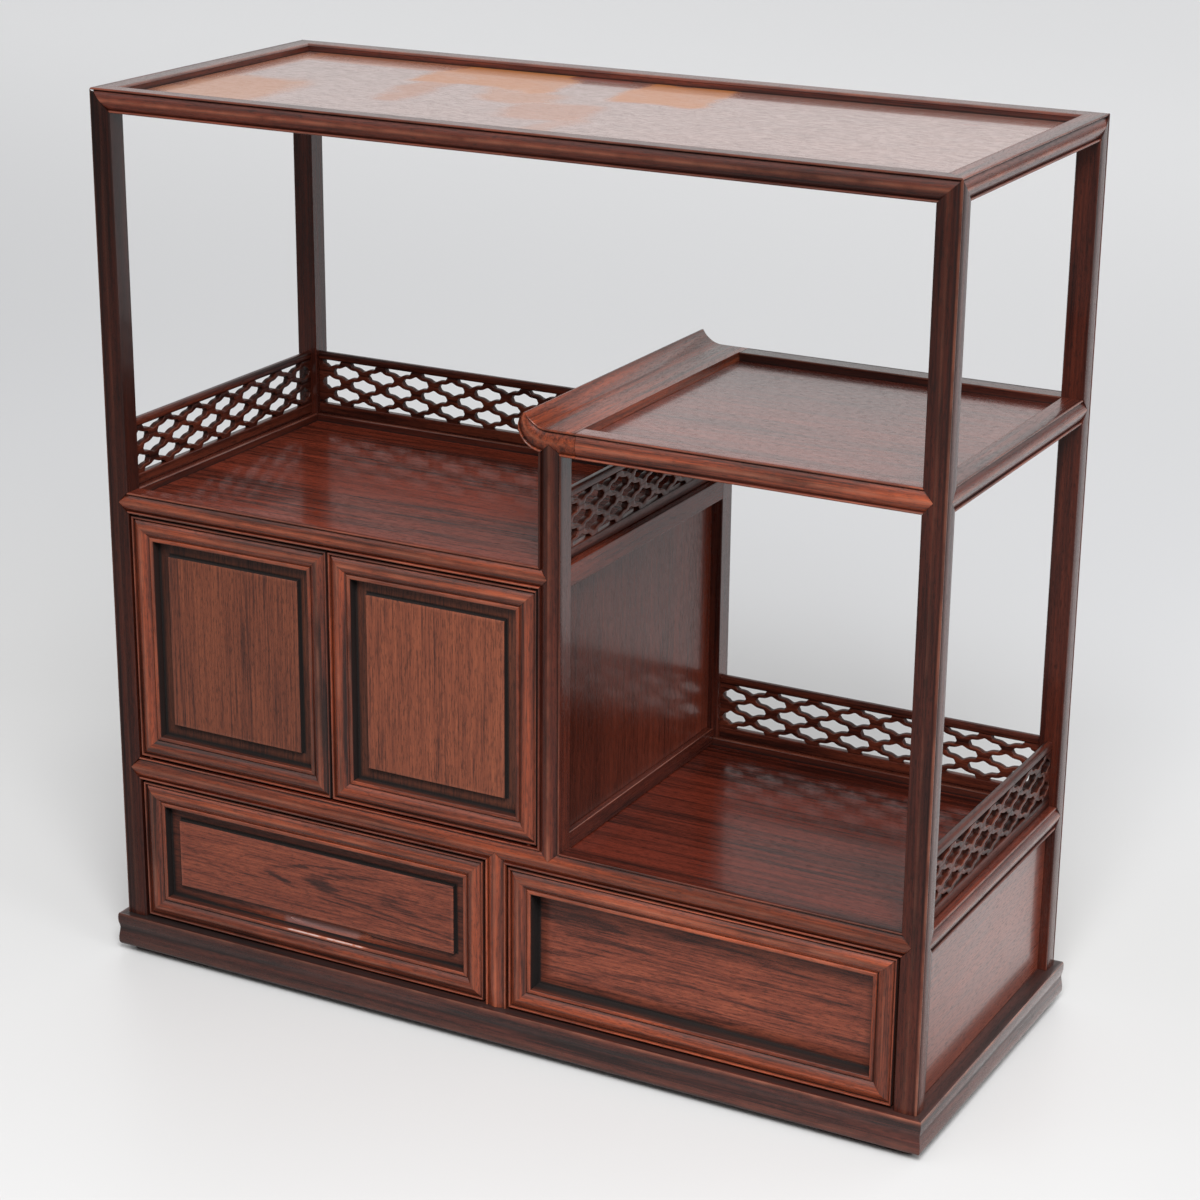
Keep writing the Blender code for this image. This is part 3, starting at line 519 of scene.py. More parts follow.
FRAME_WOOD = Rosewood(
    "frame_wood", srgb(96, 42, 28), srgb(68, 29, 21), srgb(32, 13, 11),
    cloud=0.4, stripe=0.5, line=0.3, shine=0.35,
)
WARM_FRAME = replace(
    FRAME_WOOD, name="warm_frame",
    light=srgb(144, 66, 39), middle=srgb(98, 44, 28), dark=srgb(38, 16, 11),
    cloud=0.5, stripe=0.65, line=0.4, shine=0.5,
)
CURL_WOOD = replace(WARM_FRAME, name="curl_wood", shine=0.3)
LATTICE_WOOD = Rosewood(
    "lattice_wood", srgb(96, 44, 30), srgb(72, 32, 23), srgb(42, 19, 15), gloss=0.3, shine=0.14
)
SHELF_WOOD = Rosewood(
    "shelf_wood", srgb(112, 47, 32), srgb(85, 36, 25), srgb(48, 21, 16),
    gloss=0.15, broad=26.0, stretch=0.03, cloud=0.6, shine=0.027,
)
# A darker copy of the shelf wood: painted shade on the lower shelf and on the top of the rail before it.
LOWER_SHELF = replace(
    SHELF_WOOD, name="lower_shelf",
    light=srgb(96, 38, 26), middle=srgb(72, 28, 19), dark=srgb(42, 17, 13), shine=0.08,
)
DULL_SHELF = replace(
    SHELF_WOOD, name="dull_shelf",
    light=srgb(120, 56, 42), middle=srgb(94, 43, 33), dark=srgb(56, 27, 22),
    gloss=0.2, cloud=0.4, stripe=0.4, shine=0.42,
)
SIDE_WOOD = Rosewood(
    "side_wood", srgb(138, 68, 48), srgb(114, 54, 39), srgb(78, 37, 29),
    gloss=0.3, broad=26.0, bands=260.0, stretch=0.05, sway=0.03, cloud=0.3, stripe=0.3, shine=0.75,
)
# A darker copy of the side wood: painted shade on the partition panel and its rail.
PARTITION_WOOD = replace(
    SIDE_WOOD, name="partition_wood",
    light=srgb(120, 56, 40), middle=srgb(96, 44, 32), dark=srgb(64, 30, 23), gloss=0.24, shine=0.17,
)
DOOR_WOOD = Rosewood(
    "door_wood", srgb(138, 74, 49), srgb(118, 61, 41), srgb(76, 38, 28),
    gloss=0.3, broad=40.0, bands=320.0, stretch=0.04, cloud=0.28, stripe=0.3, line=0.7,
)
DRAWER_WOOD = Rosewood(
    "drawer_wood", srgb(140, 72, 50), srgb(112, 54, 39), srgb(60, 30, 24),
    broad=22.0, bands=220.0, stretch=0.08, sway=0.05, cloud=0.4, stripe=0.35, rings=95.0,
)
ARCHED_DRAWER = replace(
    DRAWER_WOOD, name="arched_drawer", rings=0.0, cloud=0.35, arch=Arch(-0.292, 0.128, 6.0, 36.0),
    # A pale painted highlight where the finger hollow catches the light.
    patches=(Patch((-0.214, 0.0738), (0.044, 0.0030), srgb(140, 112, 112), 0.6, 0.003, 0.0042, False, 2),),
)
PLINTH_WOOD = Rosewood(
    "plinth_wood", srgb(100, 50, 39), srgb(76, 36, 29), srgb(42, 21, 18), cloud=0.5, shine=0.6
)
INNER_WOOD = PlainWood(
    "inner_wood", srgb(206, 170, 122), srgb(190, 152, 104), srgb(150, 112, 74), gloss=0.62
)
TAN = srgb(164, 100, 46)
PINK = srgb(156, 98, 62)
OCHRE = srgb(150, 84, 42)
RED = srgb(104, 44, 32)
TOP_WOOD = Rosewood(
    "top_wood", srgb(138, 98, 86), srgb(128, 88, 78), srgb(106, 70, 62),
    gloss=0.15, clear=0.04, stretch=0.03, broad=22.0, cloud=0.25, stripe=0.25, shine=0.7,
    patches=(
        Patch((-0.310, 0.139), (0.100, 0.024), OCHRE, 0.6, 0.002, 0.004, False),
        Patch((-0.412, 0.060), (0.016, 0.090), OCHRE, 0.5, 0.002, 0.004, False),
        Patch((-0.160, 0.108), (0.078, 0.058), TAN, 0.85, 0.018, 0.008),
        Patch((0.036, 0.104), (0.052, 0.060), TAN, 0.85, 0.018, 0.008),
        Patch((-0.195, 0.000), (0.017, 0.060), PINK, 0.6, 0.012, 0.010),
        Patch((-0.095, 0.030), (0.042, 0.034), TAN, 0.55, 0.024, 0.012),
        Patch((-0.025, -0.035), (0.044, 0.046), PINK, 0.55, 0.024, 0.012),
        Patch((0.013, -0.110), (0.014, 0.046), PINK, 0.4, 0.010, 0.010),
        Patch((-0.360, -0.077), (0.052, 0.078), TAN, 0.65, 0.026, 0.016),
        # A dark red patch without sheen: a painted reflection of the back rail.
        Patch((-0.070, 0.154), (0.034, 0.013), RED, 0.8, 0.012, 0.003, False),
        Patch((0.344, 0.102), (0.007, 0.0012), RED, 0.7, 0.001, 0.001, False),
    ),
)

# How much lighter or darker than others a node's piece is, all over or in steps from end to end: partly the
# wood's own tone, partly painted shade where light falls off (the left posts, the plinth's left end, the
# feet, the partition panel) and painted light on the right-facing rails
TONE_AND_PAINTED_SHADING: dict[str, Tone] = {
    **dict.fromkeys(("foot_front_left", "foot_front_right", "foot_back_left", "foot_back_right"), -0.7),
    "plinth_front": (-0.6, -0.3, -0.1, 0.0),
    "post_front_left": (-0.35, -0.4, -0.6, -0.7, -0.7),
    "post_front_right": (-0.05, -0.15, -0.25, -0.4, -0.55),
    "post_back_left": -0.15,
    "post_back_right": -0.3,
    "divider_post_front": (0.2, -0.1, -0.45, -0.6),
    "drawer_stile": 0.15,
    "top_rail_front": (0.15, -0.3),
    "top_rail_right": 0.25,
    "middle_rail_front": (-0.06, -0.06, -0.12, -0.28),
    "middle_rail_right": 0.4,
    "head_rail_front": -0.06,
    "shelf_rail_front": 0.2,
    "shelf_rail_right": 0.3,
    "shelf_curled_end": -0.2,
    "partition_panel": (-0.6, -0.3, 0.0),
    **dict.fromkeys(("cabinet_back_panel", "drawer_back_panel", "bottom_board", "drawer_guide"), -0.1),
    "gallery_left": -0.2,
    "gallery_back_left": -0.3,
    "door_left_frame": -0.08,
    "door_left_panel": -0.24,
    "door_right_frame": 0.05,
    "drawer_right_frame": 0.2,
    "drawer_right_panel": 0.18,
}


class Shell:
    """Points and faces gathered from several surfaces into one mesh."""

    def __init__(self) -> None:
        """Start with nothing."""
        self.points: list[Array] = []
        self.wear_and_shading_rows: list[Array] = []
        self.faces: list[list[int]] = []
        self.marks: list[int] = []
        self.count = 0

    def add(self, points: Array, rub: Array | float = 0.0) -> Array:
        """Take in points of any grid shape.

        Args:
            points: an array whose last axis is x, y, z.
            rub: rubbing with a painted highlight above 0, grime with painted shade below, over the same
                grid.

        Returns:
            The numbers of the points, in the grid's shape.
        """
        shape = points.shape[:-1]
        index = self.count + np.arange(int(np.prod(shape))).reshape(shape)
        self.points.append(points.reshape(-1, 3))
        self.wear_and_shading_rows.append(np.broadcast_to(rub, shape).reshape(-1))
        self.count += index.size
        return index

    def sheet(self, index: Array, wrap: bool = False, mark: int = 0) -> None:
        """Quads over a grid of points.

        Args:
            index: the grid of point numbers.
            wrap: whether its second direction closes.
            mark: which material its faces take.
        """
        beside = np.roll(index, -1, axis=1) if wrap else index[:, 1:]
        near = index if wrap else index[:, :-1]
        quads = np.stack((near[:-1], near[1:], beside[1:], beside[:-1]), axis=-1).reshape(-1, 4)
        self.faces += quads.tolist()
        self.marks += [mark] * len(quads)

    def polygon(self, ring: Sequence[int], mark: int = 0) -> None:
        """One face round a ring of points.

        Args:
            ring: the point numbers; fewer than three make no face.
            mark: which material its faces take.
        """
        if len(ring) > 2:
            self.faces.append([int(i) for i in ring])
            self.marks.append(mark)

    def tube(self, points: Array, rub: Array | float = 0.0, mark: int = 0) -> "Shell":
        """Rings of points joined into a closed surface, with the first and last ring filled.

        Args:
            points: a grid of rings.
            rub: rubbing with a painted highlight above 0, grime with painted shade below, over the same
                grid.
            mark: which material its faces take.

        Returns:
            The shell itself.
        """
        index = self.add(points, rub)
        self.sheet(index, True, mark)
        self.polygon(index[0], mark)
        self.polygon(index[-1], mark)
        return self

    def mesh(self, name: str) -> bpy.types.Mesh:
        """The gathered surfaces as a mesh whose faces point outwards.

        Args:
            name: the mesh's name.

        Returns:
            The mesh, with the rubbing and painted shading stored on its points.
        """
        made = bpy.data.meshes.new(name)
        made.from_pydata(np.concatenate(self.points).tolist(), [], self.faces)
        made.polygons.foreach_set("material_index", np.array(self.marks, np.int32))
        # Stored on each point: rubbing with a painted highlight above 0, grime with painted shade below.
        rub = made.attributes.new("rub", "FLOAT", "POINT")
        rub.data.foreach_set("value", np.concatenate(self.wear_and_shading_rows).astype(np.float32))
        shape = bmesh.new()
        shape.from_mesh(made)
        bmesh.ops.recalc_face_normals(shape, faces=shape.faces[:])
        shape.to_mesh(made)
        shape.free()
        return made


def read(items: bpy.types.bpy_prop_collection, name: str, width: int = 1) -> Array:
    """One property of all vertices or faces.

    Args:
        items: the vertices or faces.
        name: the property.
        width: how many numbers it has.

    Returns:
        One row for each item.
    """
    values = np.empty(len(items) * width, np.float32)
    items.foreach_get(name, values)
    return values.reshape(-1, width)


def placed(name: str, data: bpy.types.ID) -> bpy.types.Object:
    """A new object in the scene.

    Args:
        name: the object's name.
        data: its mesh, light or camera.

    Returns:
        The object.
    """
    made = bpy.data.objects.new(name, data)
    bpy.context.scene.collection.objects.link(made)
    return made


class Piece:
    """One finished object and the CAD nodes it stands for.

    Faces wider than the limit are shaded flat, and edges above the crease in degrees stay sharp.
    """

    wide: float = 0.0025
    crease: float = 40.0
    level_from: float = 0.95
    shifts: int = 97

    def __init__(self, name: str, shell: Shell, nodes: Sequence[str], slot: str, body: str = BODY) -> None:
        """Make the object and tie it to the frame.

        Args:
            name: the object's name.
            shell: its surfaces.
            nodes: the CAD nodes which it replaces.
            slot: the record's material slot; not used.
            body: the body it moves with.
        """
        self.object = placed(name, shell.mesh(name))
        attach(self.object, body)
        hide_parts(*nodes)

    def carve(self, cutter: Shell) -> None:
        """Cut a joint or hollow out of the piece and keep the plain result.

        Args:
            cutter: the surface round what is taken away.
        """
        tool = placed("joint_cutter", cutter.mesh("joint_cutter"))
        cut = self.object.modifiers.new("joint", "BOOLEAN")
        cut.operation = "DIFFERENCE"
        cut.solver = "EXACT"
        cut.object = tool
        seen = bpy.context.evaluated_depsgraph_get()
        whole = bpy.data.meshes.new_from_object(
            self.object.evaluated_get(seen), preserve_all_data_layers=True, depsgraph=seen
        )
        self.object.modifiers.clear()
        old = self.object.data
        self.object.data = whole
        bpy.data.meshes.remove(old)
        bpy.data.objects.remove(tool, do_unlink=True)

    def dress(
        self,
        materials: Sequence[bpy.types.Material],
        tone: Tone = 0.0,
        level: bpy.types.Material | None = None,
    ) -> None:
        """Give the piece its finish.

        Args:
            materials: one for each mark on its faces.
            tone: how much lighter or darker than others it is, all over or in steps from end to end; partly
                the wood's own tone, partly painted shade and painted light.
            level: the finish of the faces which look straight up, where it differs.
        """
        mesh = self.object.data
        if level:
            flat = (read(mesh.polygons, "normal", 3)[:, 2] > self.level_from) * len(materials)
            mesh.polygons.foreach_set("material_index", flat.astype(np.int32))
            materials = [*materials, level]
        for material in materials:
            mesh.materials.append(material)
        points = read(mesh.vertices, "co", 3)
        longest = points[:, int(np.argmax(np.ptp(points, axis=0)))]
        # Steps of tone, partly painted shade and painted light, run along the piece's longest axis.
        steps = tone if isinstance(tone, tuple) else (tone, tone)
        tone_and_shading = np.interp(longest, np.linspace(longest.min(), longest.max(), len(steps)), steps)
        letters = sum(ord(letter) * (i + 3) for i, letter in enumerate(self.object.name))
        shift = np.full(len(points), letters % self.shifts / self.shifts)
        for name, values in (("shift", shift), ("tone", tone_and_shading)):
            stored = mesh.attributes.get(name) or mesh.attributes.new(name, "FLOAT", "POINT")
            stored.data.foreach_set("value", values.astype(np.float32))
        mesh.set_sharp_from_angle(angle=math.radians(self.crease))
        mesh.polygons.foreach_set("use_smooth", read(mesh.polygons, "area")[:, 0] < self.wide)


@dataclass(frozen=True)
class Place:
    """Axes of a bar: along it, inwards from its outer face, and across that face."""

    origin: tuple[float, float, float]
    along: tuple[float, float, float]
    inward: tuple[float, float, float]
    across: tuple[float, float, float]

    def lay(self, s: Array, n: Array, t: Array) -> Array:
        """Points at distances s along, n inwards and t across."""
        parts = zip((s, n, t), (self.along, self.inward, self.across))
        return sum((np.asarray(d)[..., None] * np.array(axis) for d, axis in parts), np.array(self.origin))


@dataclass
class Section:
    """Closed outline of a bar, its face points first, with the points where a pointed end's back begins."""

    inward: Array
    across: Array
    rub: Array
    face: int = 1
    high: int = 1
    low: int = 1

    @classmethod
    def closed(cls, face: Sequence[Array], tail: Sequence[Sequence[float]]) -> "Section":
        """A moulded face and the rest of the outline.

        Args:
            face: distances across, drops below the face, and rubbing with painted shading.
            tail: rows of (inwards, across, rubbing with painted shading) from the face's last point round
                to its first.

        Returns:
            The outline; a pointed end's back begins at the first and last row of the tail.
        """
        t, drop, rub = face
        inward, across, wear_and_light = np.transpose(tail)
        count = len(t)
        outline = np.append(drop, inward), np.append(t, across), np.append(rub, wear_and_light)
        return cls(*outline, count, count, count + len(tail) - 1)


@dataclass(frozen=True)
class Moulding:
    """Face moulding: a round bead on each edge, a quirk, and two full bands rising to a soft ridge.

    lip is a wider and flatter bead on the second edge. edge_rub and ridge_wear_and_highlight are rubbing
    with a painted highlight on the beads and along the ridge, foot_dirt is painted shade at the foot of the
    bands, and dirt_and_shade is grime with painted shade in the quirk.
    """

    bead: float = 0.0022
    crown: float = 0.0011
    quirk: float = 0.0006
    base: float = 0.0036
    full: float = 0.0005
    soft: float = 0.0010
    ridge: float = 0.5
    lip: float = 0.0
    lip_rise: float = 0.0012
    lip_flat: float = 0.5
    edge_rub: float = 0.5
    edge_points: int = 7
    ridge_wear_and_highlight: float = 0.8
    foot_dirt: float = 1.3
    band_points: int = 13
    dig: float = 0.0004
    dirt_and_shade: float = -1.5
    corner_ridge: float = 0.52
    corner_rub: float = 0.9
    corner_points: int = 15
    corner_share: float = 0.75
    corner_turn: tuple[float, float] = (1.45 * math.pi, 0.05 * math.pi)
    far_shade: float = -0.6

    def edge(self, wide: float, crown: float, flat: float) -> tuple[Array, Array, Array]:
        """A bead and its quirk: t = r (1 - cos a), drop = crown + flat r (1 - sin a).

        Args:
            wide: the bead's width, 2 r.
            crown: how far its top lies below the face.
            flat: its height over that of a half round.

        Returns:
            Distances from the edge, drops, and rubbing with painted shading.
        """
        turn = np.linspace(0.0, math.pi, self.edge_points)
        t = np.append(wide / 2 * (1 - np.cos(turn)), wide + self.quirk / 2)
        drop = np.append(crown + flat * wide / 2 * (1 - np.sin(turn)), self.base + self.dig)
        # Rubbing with a painted highlight over the bead, and grime with painted shade in the quirk.
        return t, drop, np.append(self.edge_rub * np.sin(turn), self.dirt_and_shade)

    def flanks(self, start: float, stop: float, ridge: float) -> tuple[Array, Array, Array]:
        """Two bands meeting at a ridge: drop = base u - full sin(pi u), with u the softened way from it.

        Args:
            start: where the first band begins.
            stop: where the second ends.
            ridge: where they meet.

        Returns:
            Distances across, drops below the face, and rubbing with painted shading.
        """
        points = self.band_points
        t = np.concatenate((np.linspace(start, ridge, points), np.linspace(ridge, stop, points)[1:]))
        length = np.where(t < ridge, ridge - start, stop - ridge)
        u = (np.hypot(t - ridge, self.soft) - self.soft) / (np.hypot(length, self.soft) - self.soft)
        # Rubbing with a painted highlight along the ridge, and painted shade towards the foot of each band.
        rub = self.ridge_wear_and_highlight * (1 - u) ** 6 - self.foot_dirt * u**8
        return t, self.base * u - self.full * np.sin(math.pi * u), rub

    def face(self, width: float) -> tuple[Array, Array, Array]:
        """The whole face from edge to edge.

        Args:
            width: the face's width.

        Returns:
            Distances across, drops below the face, and rubbing with painted shading.
        """
        outer = self.edge(self.bead, self.crown, 1.0)
        inner = self.edge(self.lip, self.base - self.lip_rise, self.lip_flat) if self.lip else outer
        stop = width - (self.lip or self.bead) - self.quirk
        middle = self.flanks(self.bead + self.quirk, stop, width * self.ridge)
        far = width - inner[0], *inner[1:]
        return tuple(np.concatenate((a, b, c[::-1])) for a, b, c in zip(outer, middle, far))

    def corner(self, width: float) -> tuple[Array, Array, Array]:
        """The part of a face from a three-quarter corner bead's quirk to its far edge.

        Args:
            width: the face's width.

        Returns:
            Distances across, drops below the face, and rubbing with painted shading.
        """
        middle = self.flanks(self.reach + self.quirk, width - EASE, width * self.corner_ridge)
        # The far edge takes painted shade.
        ends = (width, middle[1][-1] + EASE, self.far_shade)
        return tuple(np.append(values, end) for values, end in zip(middle, ends))

    @property
    def reach(self) -> float:
        """How far a corner bead takes up each face."""
        return self.crown + 2 * self.corner_radius

    @property
    def corner_radius(self) -> float:
        """Radius of the bead on an outer corner."""
        return self.bead * self.corner_share

    def corner_bead(self) -> tuple[Array, Array, Array]:
        """Three quarters of a circle round the outer corner, from the side face to the front face.

        Returns:
            Distances from the side face and from the front face, and rubbing with a painted highlight.
        """
        turn = np.linspace(*self.corner_turn, self.corner_points) + math.pi
        middle = self.crown + self.corner_radius
        a = middle + self.corner_radius * np.sin(turn)
        b = middle + self.corner_radius * np.cos(turn)
        # The whole corner bead takes rubbing with a painted highlight.
        return a, b, np.full(self.corner_points, self.corner_rub)


MOULDING = Moulding()
POST_MOULDING = Moulding(crown=0.0003, base=0.0007, full=0.0002, soft=0.0022, ridge_wear_and_highlight=0.3)
FRONT_MOULDING = Moulding(bead=0.0020, crown=0.0012, base=0.0042, full=0.0006, ridge=0.46, lip=0.0042)


@dataclass
class End:
    """A flat end of a bar, square at its shoulder or sloped as a mitre, and the base of the other ends."""

    at: float
    by_across: float = field(default=0.0, kw_only=True)
    by_inward: float = field(default=0.0, kw_only=True)

    def reach(self, section: Section) -> Array:
        """How far along each outline point lies: at + slopes times the distances across and inwards."""
        return self.at + self.by_across * section.across + self.by_inward * section.inward

    def close(self, shell: Shell, ring: Array, section: Section, place: Place, mark: int) -> None:
        """Fill the end with one face."""
        shell.polygon(ring, mark)


@dataclass
class PeakedEnd(End):
    """One third of a three-way mitre: two planes through the outer corner, meeting at the split points."""

    run: float
    wide: float
    edge: float
    high: float
    split: tuple[int, int]

    def reach(self, section: Section) -> Array:
        """at + run times the larger of inwards / wide and |across - edge| / high."""
        shares = np.maximum(section.inward / self.wide, np.abs(section.across - self.edge) / self.high)
        return self.at + self.run * shares

    def close(self, shell: Shell, ring: Array, section: Section, place: Place, mark: int) -> None:
        """Two flat faces which meet along the line between the split points.

        Args:
            shell: where the faces go.
            ring: the point numbers of the outline at this end.
            section: the bar's outline; not used.
            place: the bar's axes; not used.
            mark: which material its faces take.
        """
        first, second = sorted(self.split)
        shell.polygon(ring[first : second + 1], mark)
        shell.polygon(np.concatenate((ring[second:], ring[: first + 1])), mark)


@dataclass
class PointedEnd(End):
    """A shoulder whose face, from low over its height, runs on into a point the way of its sign."""

    sign: int
    low: float
    height: float
    length: float = 0.0105
    depth: float = 0.0070

    def rise(self, across: Array) -> Array:
        """Length of the point at a distance across: length (1 - |t - middle| / half)."""
        half = self.height / 2
        return self.sign * self.length * np.clip(1 - np.abs(across - self.low - half) / half, 0, 1)

    def reach(self, section: Section) -> Array:
        """The shoulder, and the point on the face.

        Args:
            section: the bar's outline.

        Returns:
            One place for each outline point.
        """
        places = np.full(len(section.inward), self.at)
        places[: section.face] += self.rise(section.across[: section.face])
        return places

    def close(self, shell: Shell, ring: Array, section: Section, place: Place, mark: int) -> None:
        """The edge of the point, its underside, and the square shoulder behind it.

        Args:
            shell: where the faces go.
            ring: the point numbers of the outline at this end.
            section: the bar's outline.
            place: the bar's axes.
            mark: which material its faces take.
        """
        across = section.across[1 : section.face - 1]
        deep = np.full(len(across), self.depth)
        tip = shell.add(place.lay(self.at + self.rise(across), deep, across))
        root = shell.add(place.lay(np.full(len(across), self.at), deep, across))
        ends = ring[[section.low]], ring[[section.high]]
        tips = np.concatenate((ends[0], tip, ends[1]))
        roots = np.concatenate((ends[0], root, ends[1]))
        shell.sheet(np.stack((ring[: section.face], tips)), False, mark)
        shell.sheet(np.stack((tips[1:-1], roots[1:-1])), False, mark)
        shell.polygon((tips[0], tips[1], roots[1]), mark)
        shell.polygon((tips[-1], tips[-2], roots[-2]), mark)
        shell.polygon(ring[section.face - 1 : section.high + 1], mark)
        shell.polygon(np.concatenate((ring[section.low :], ring[:1])), mark)
        shell.polygon(np.concatenate((ring[section.high : section.low + 1], root)), mark)

    def notch(self, face: float, place: Place) -> Shell:
        """The cutter for the notch which takes the point: a prism a little longer and deeper than it.

        Args:
            face: where the other piece's face lies along the bar.
            place: the bar's axes.

        Returns:
            The cutter.
        """
        half = self.height / 2
        spare = MOULDING.bead
        reach = self.length + GAP / 2
        mouth = (reach + spare) * half / self.length
        middle = self.low + half
        s = np.array((face + self.sign * reach, face - self.sign * spare, face - self.sign * spare))
        t = np.array((middle, middle + mouth, middle - mouth))
        depths = np.array((-spare, self.depth + GAP))[:, None]
        return Shell().tube(place.lay(s[None] + 0 * depths, depths + 0 * s, t[None] + 0 * depths))


@dataclass(frozen=True)
class WornAndHighlight:
    """A stretch of a bar rubbed pale by hands, with a painted highlight by the finger hollow: from and to
    along it, and from there across.
    """

    start: float
    stop: float
    across: float
    taper: float = 0.012
    rub: float = 2.8


def bar(
    shell: Shell,
    section: Section,
    place: Place,
    start: End,
    stop: End,
    mark: int = 0,
    wear_and_highlight: WornAndHighlight | None = None,
) -> None:
    """Carry a section along a straight line between two ends: P(k, j) = lay(reach_j(k), n_k, t_k).

    Args:
        shell: where the surfaces go.
        section: the closed outline.
        place: the bar's axes.
        start: its first end.
        stop: its last end.
        mark: which material its faces take.
        wear_and_highlight: the stretch which hands have rubbed, with its painted highlight.
    """
    first, last = start.reach(section), stop.reach(section)
    reach, rub = np.stack((first, last)), np.stack((section.rub, section.rub))
    if wear_and_highlight:
        stops = np.array((wear_and_highlight.start, wear_and_highlight.start + wear_and_highlight.taper, wear_and_highlight.stop - wear_and_highlight.taper, wear_and_highlight.stop))
        touched = (section.across > wear_and_highlight.across) & (np.arange(len(section.rub)) < section.face)
        reach = np.concatenate((first[None], stops[:, None] + 0 * first, last[None]))
        rub = section.rub + wear_and_highlight.rub * np.array((0, 0, 1, 1, 0, 0))[:, None] * touched
    inward = np.broadcast_to(section.inward, reach.shape)
    across = np.broadcast_to(section.across, reach.shape)
    rings = shell.add(place.lay(reach, inward, across), rub)
    shell.sheet(rings, True, mark)
    for end, ring in ((start, rings[0]), (stop, rings[-1])):
        end.close(shell, ring, section, place, mark)


def rounded(width: float, depth: float, radius: float, steps: int = 3) -> tuple[Array, Array]:
    """A rectangle with round corners: each corner's middle plus radius times (cos a, sin a).

    Args:
        width: its size along the first axis.
        depth: its size along the second.
        radius: of its corners.
        steps: how many lines make up a corner.

    Returns:
        The two coordinates of its points, from its middle.
    """
    turn = np.linspace(0.0, math.pi / 2, steps + 1)
    angles = np.concatenate([turn + math.pi / 2 * i for i in range(4)])
    signs_x = np.repeat((1, -1, -1, 1), steps + 1)
    signs_y = np.repeat((1, 1, -1, -1), steps + 1)
    x = signs_x * (width / 2 - radius) + radius * np.cos(angles)
    y = signs_y * (depth / 2 - radius) + radius * np.sin(angles)
    return x, y


def slab(shell: Shell, low: Sequence[float], high: Sequence[float], radius: float, mark: int = 0) -> None:
    """A board with eased edges: rounded rectangles drawn in by r (1 - sin a) at heights r (1 - cos a).

    Args:
        shell: where the surface goes.
        low: its lowest corner.
        high: its highest corner.
        radius: of every edge.
        mark: which material its faces take.
    """
    low, high = np.array(low), np.array(high)
    size = high - low
    turn = np.linspace(0.0, math.pi / 2, EDGE_POINTS)
    drawn, rise = radius * (1 - np.sin(turn)), radius * (1 - np.cos(turn))
    inset = np.concatenate((drawn, drawn[::-1]))
    level = np.concatenate((rise, size[2] - rise[::-1]))
    least = radius * LEAST_CORNER
    rings = [rounded(size[0] - 2 * d, size[1] - 2 * d, max(radius - d, least)) for d in inset]
    points = np.stack([np.stack((x, y, np.full(x.shape, z)), -1) for (x, y), z in zip(rings, level)])
    points += np.array(((low[0] + high[0]) / 2, (low[1] + high[1]) / 2, low[2]))
    # The middle of each round edge is rubbed, with a painted highlight.
    wear_and_highlight = (inset > radius * CROWN[0]) & (inset < radius * CROWN[1])
    shell.tube(points, np.where(wear_and_highlight, CROWN_WEAR_AND_HIGHLIGHT, 0.0)[:, None], mark)


def plain_section(width: float, depth: float, radius: float) -> Section:
    """A plain bar's outline with eased corners, from 0 to depth inwards and 0 to width across."""
    n, t = rounded(depth, width, radius)
    return Section(n + depth / 2, t + width / 2, np.zeros(n.shape))


def rectangles(left: Array, right: Array, near: Array, far: Array) -> tuple[Array, Array]:
    """The corners of rectangles in order round each, as first and second coordinates."""
    return np.stack((left, right, right, left), -1), np.stack((near, near, far, far), -1)


def corners(node: str) -> tuple[Array, Array]:
    """The lowest and highest corner of a node's CAD box."""
    low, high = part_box(node)
    return np.array(low), np.array(high)


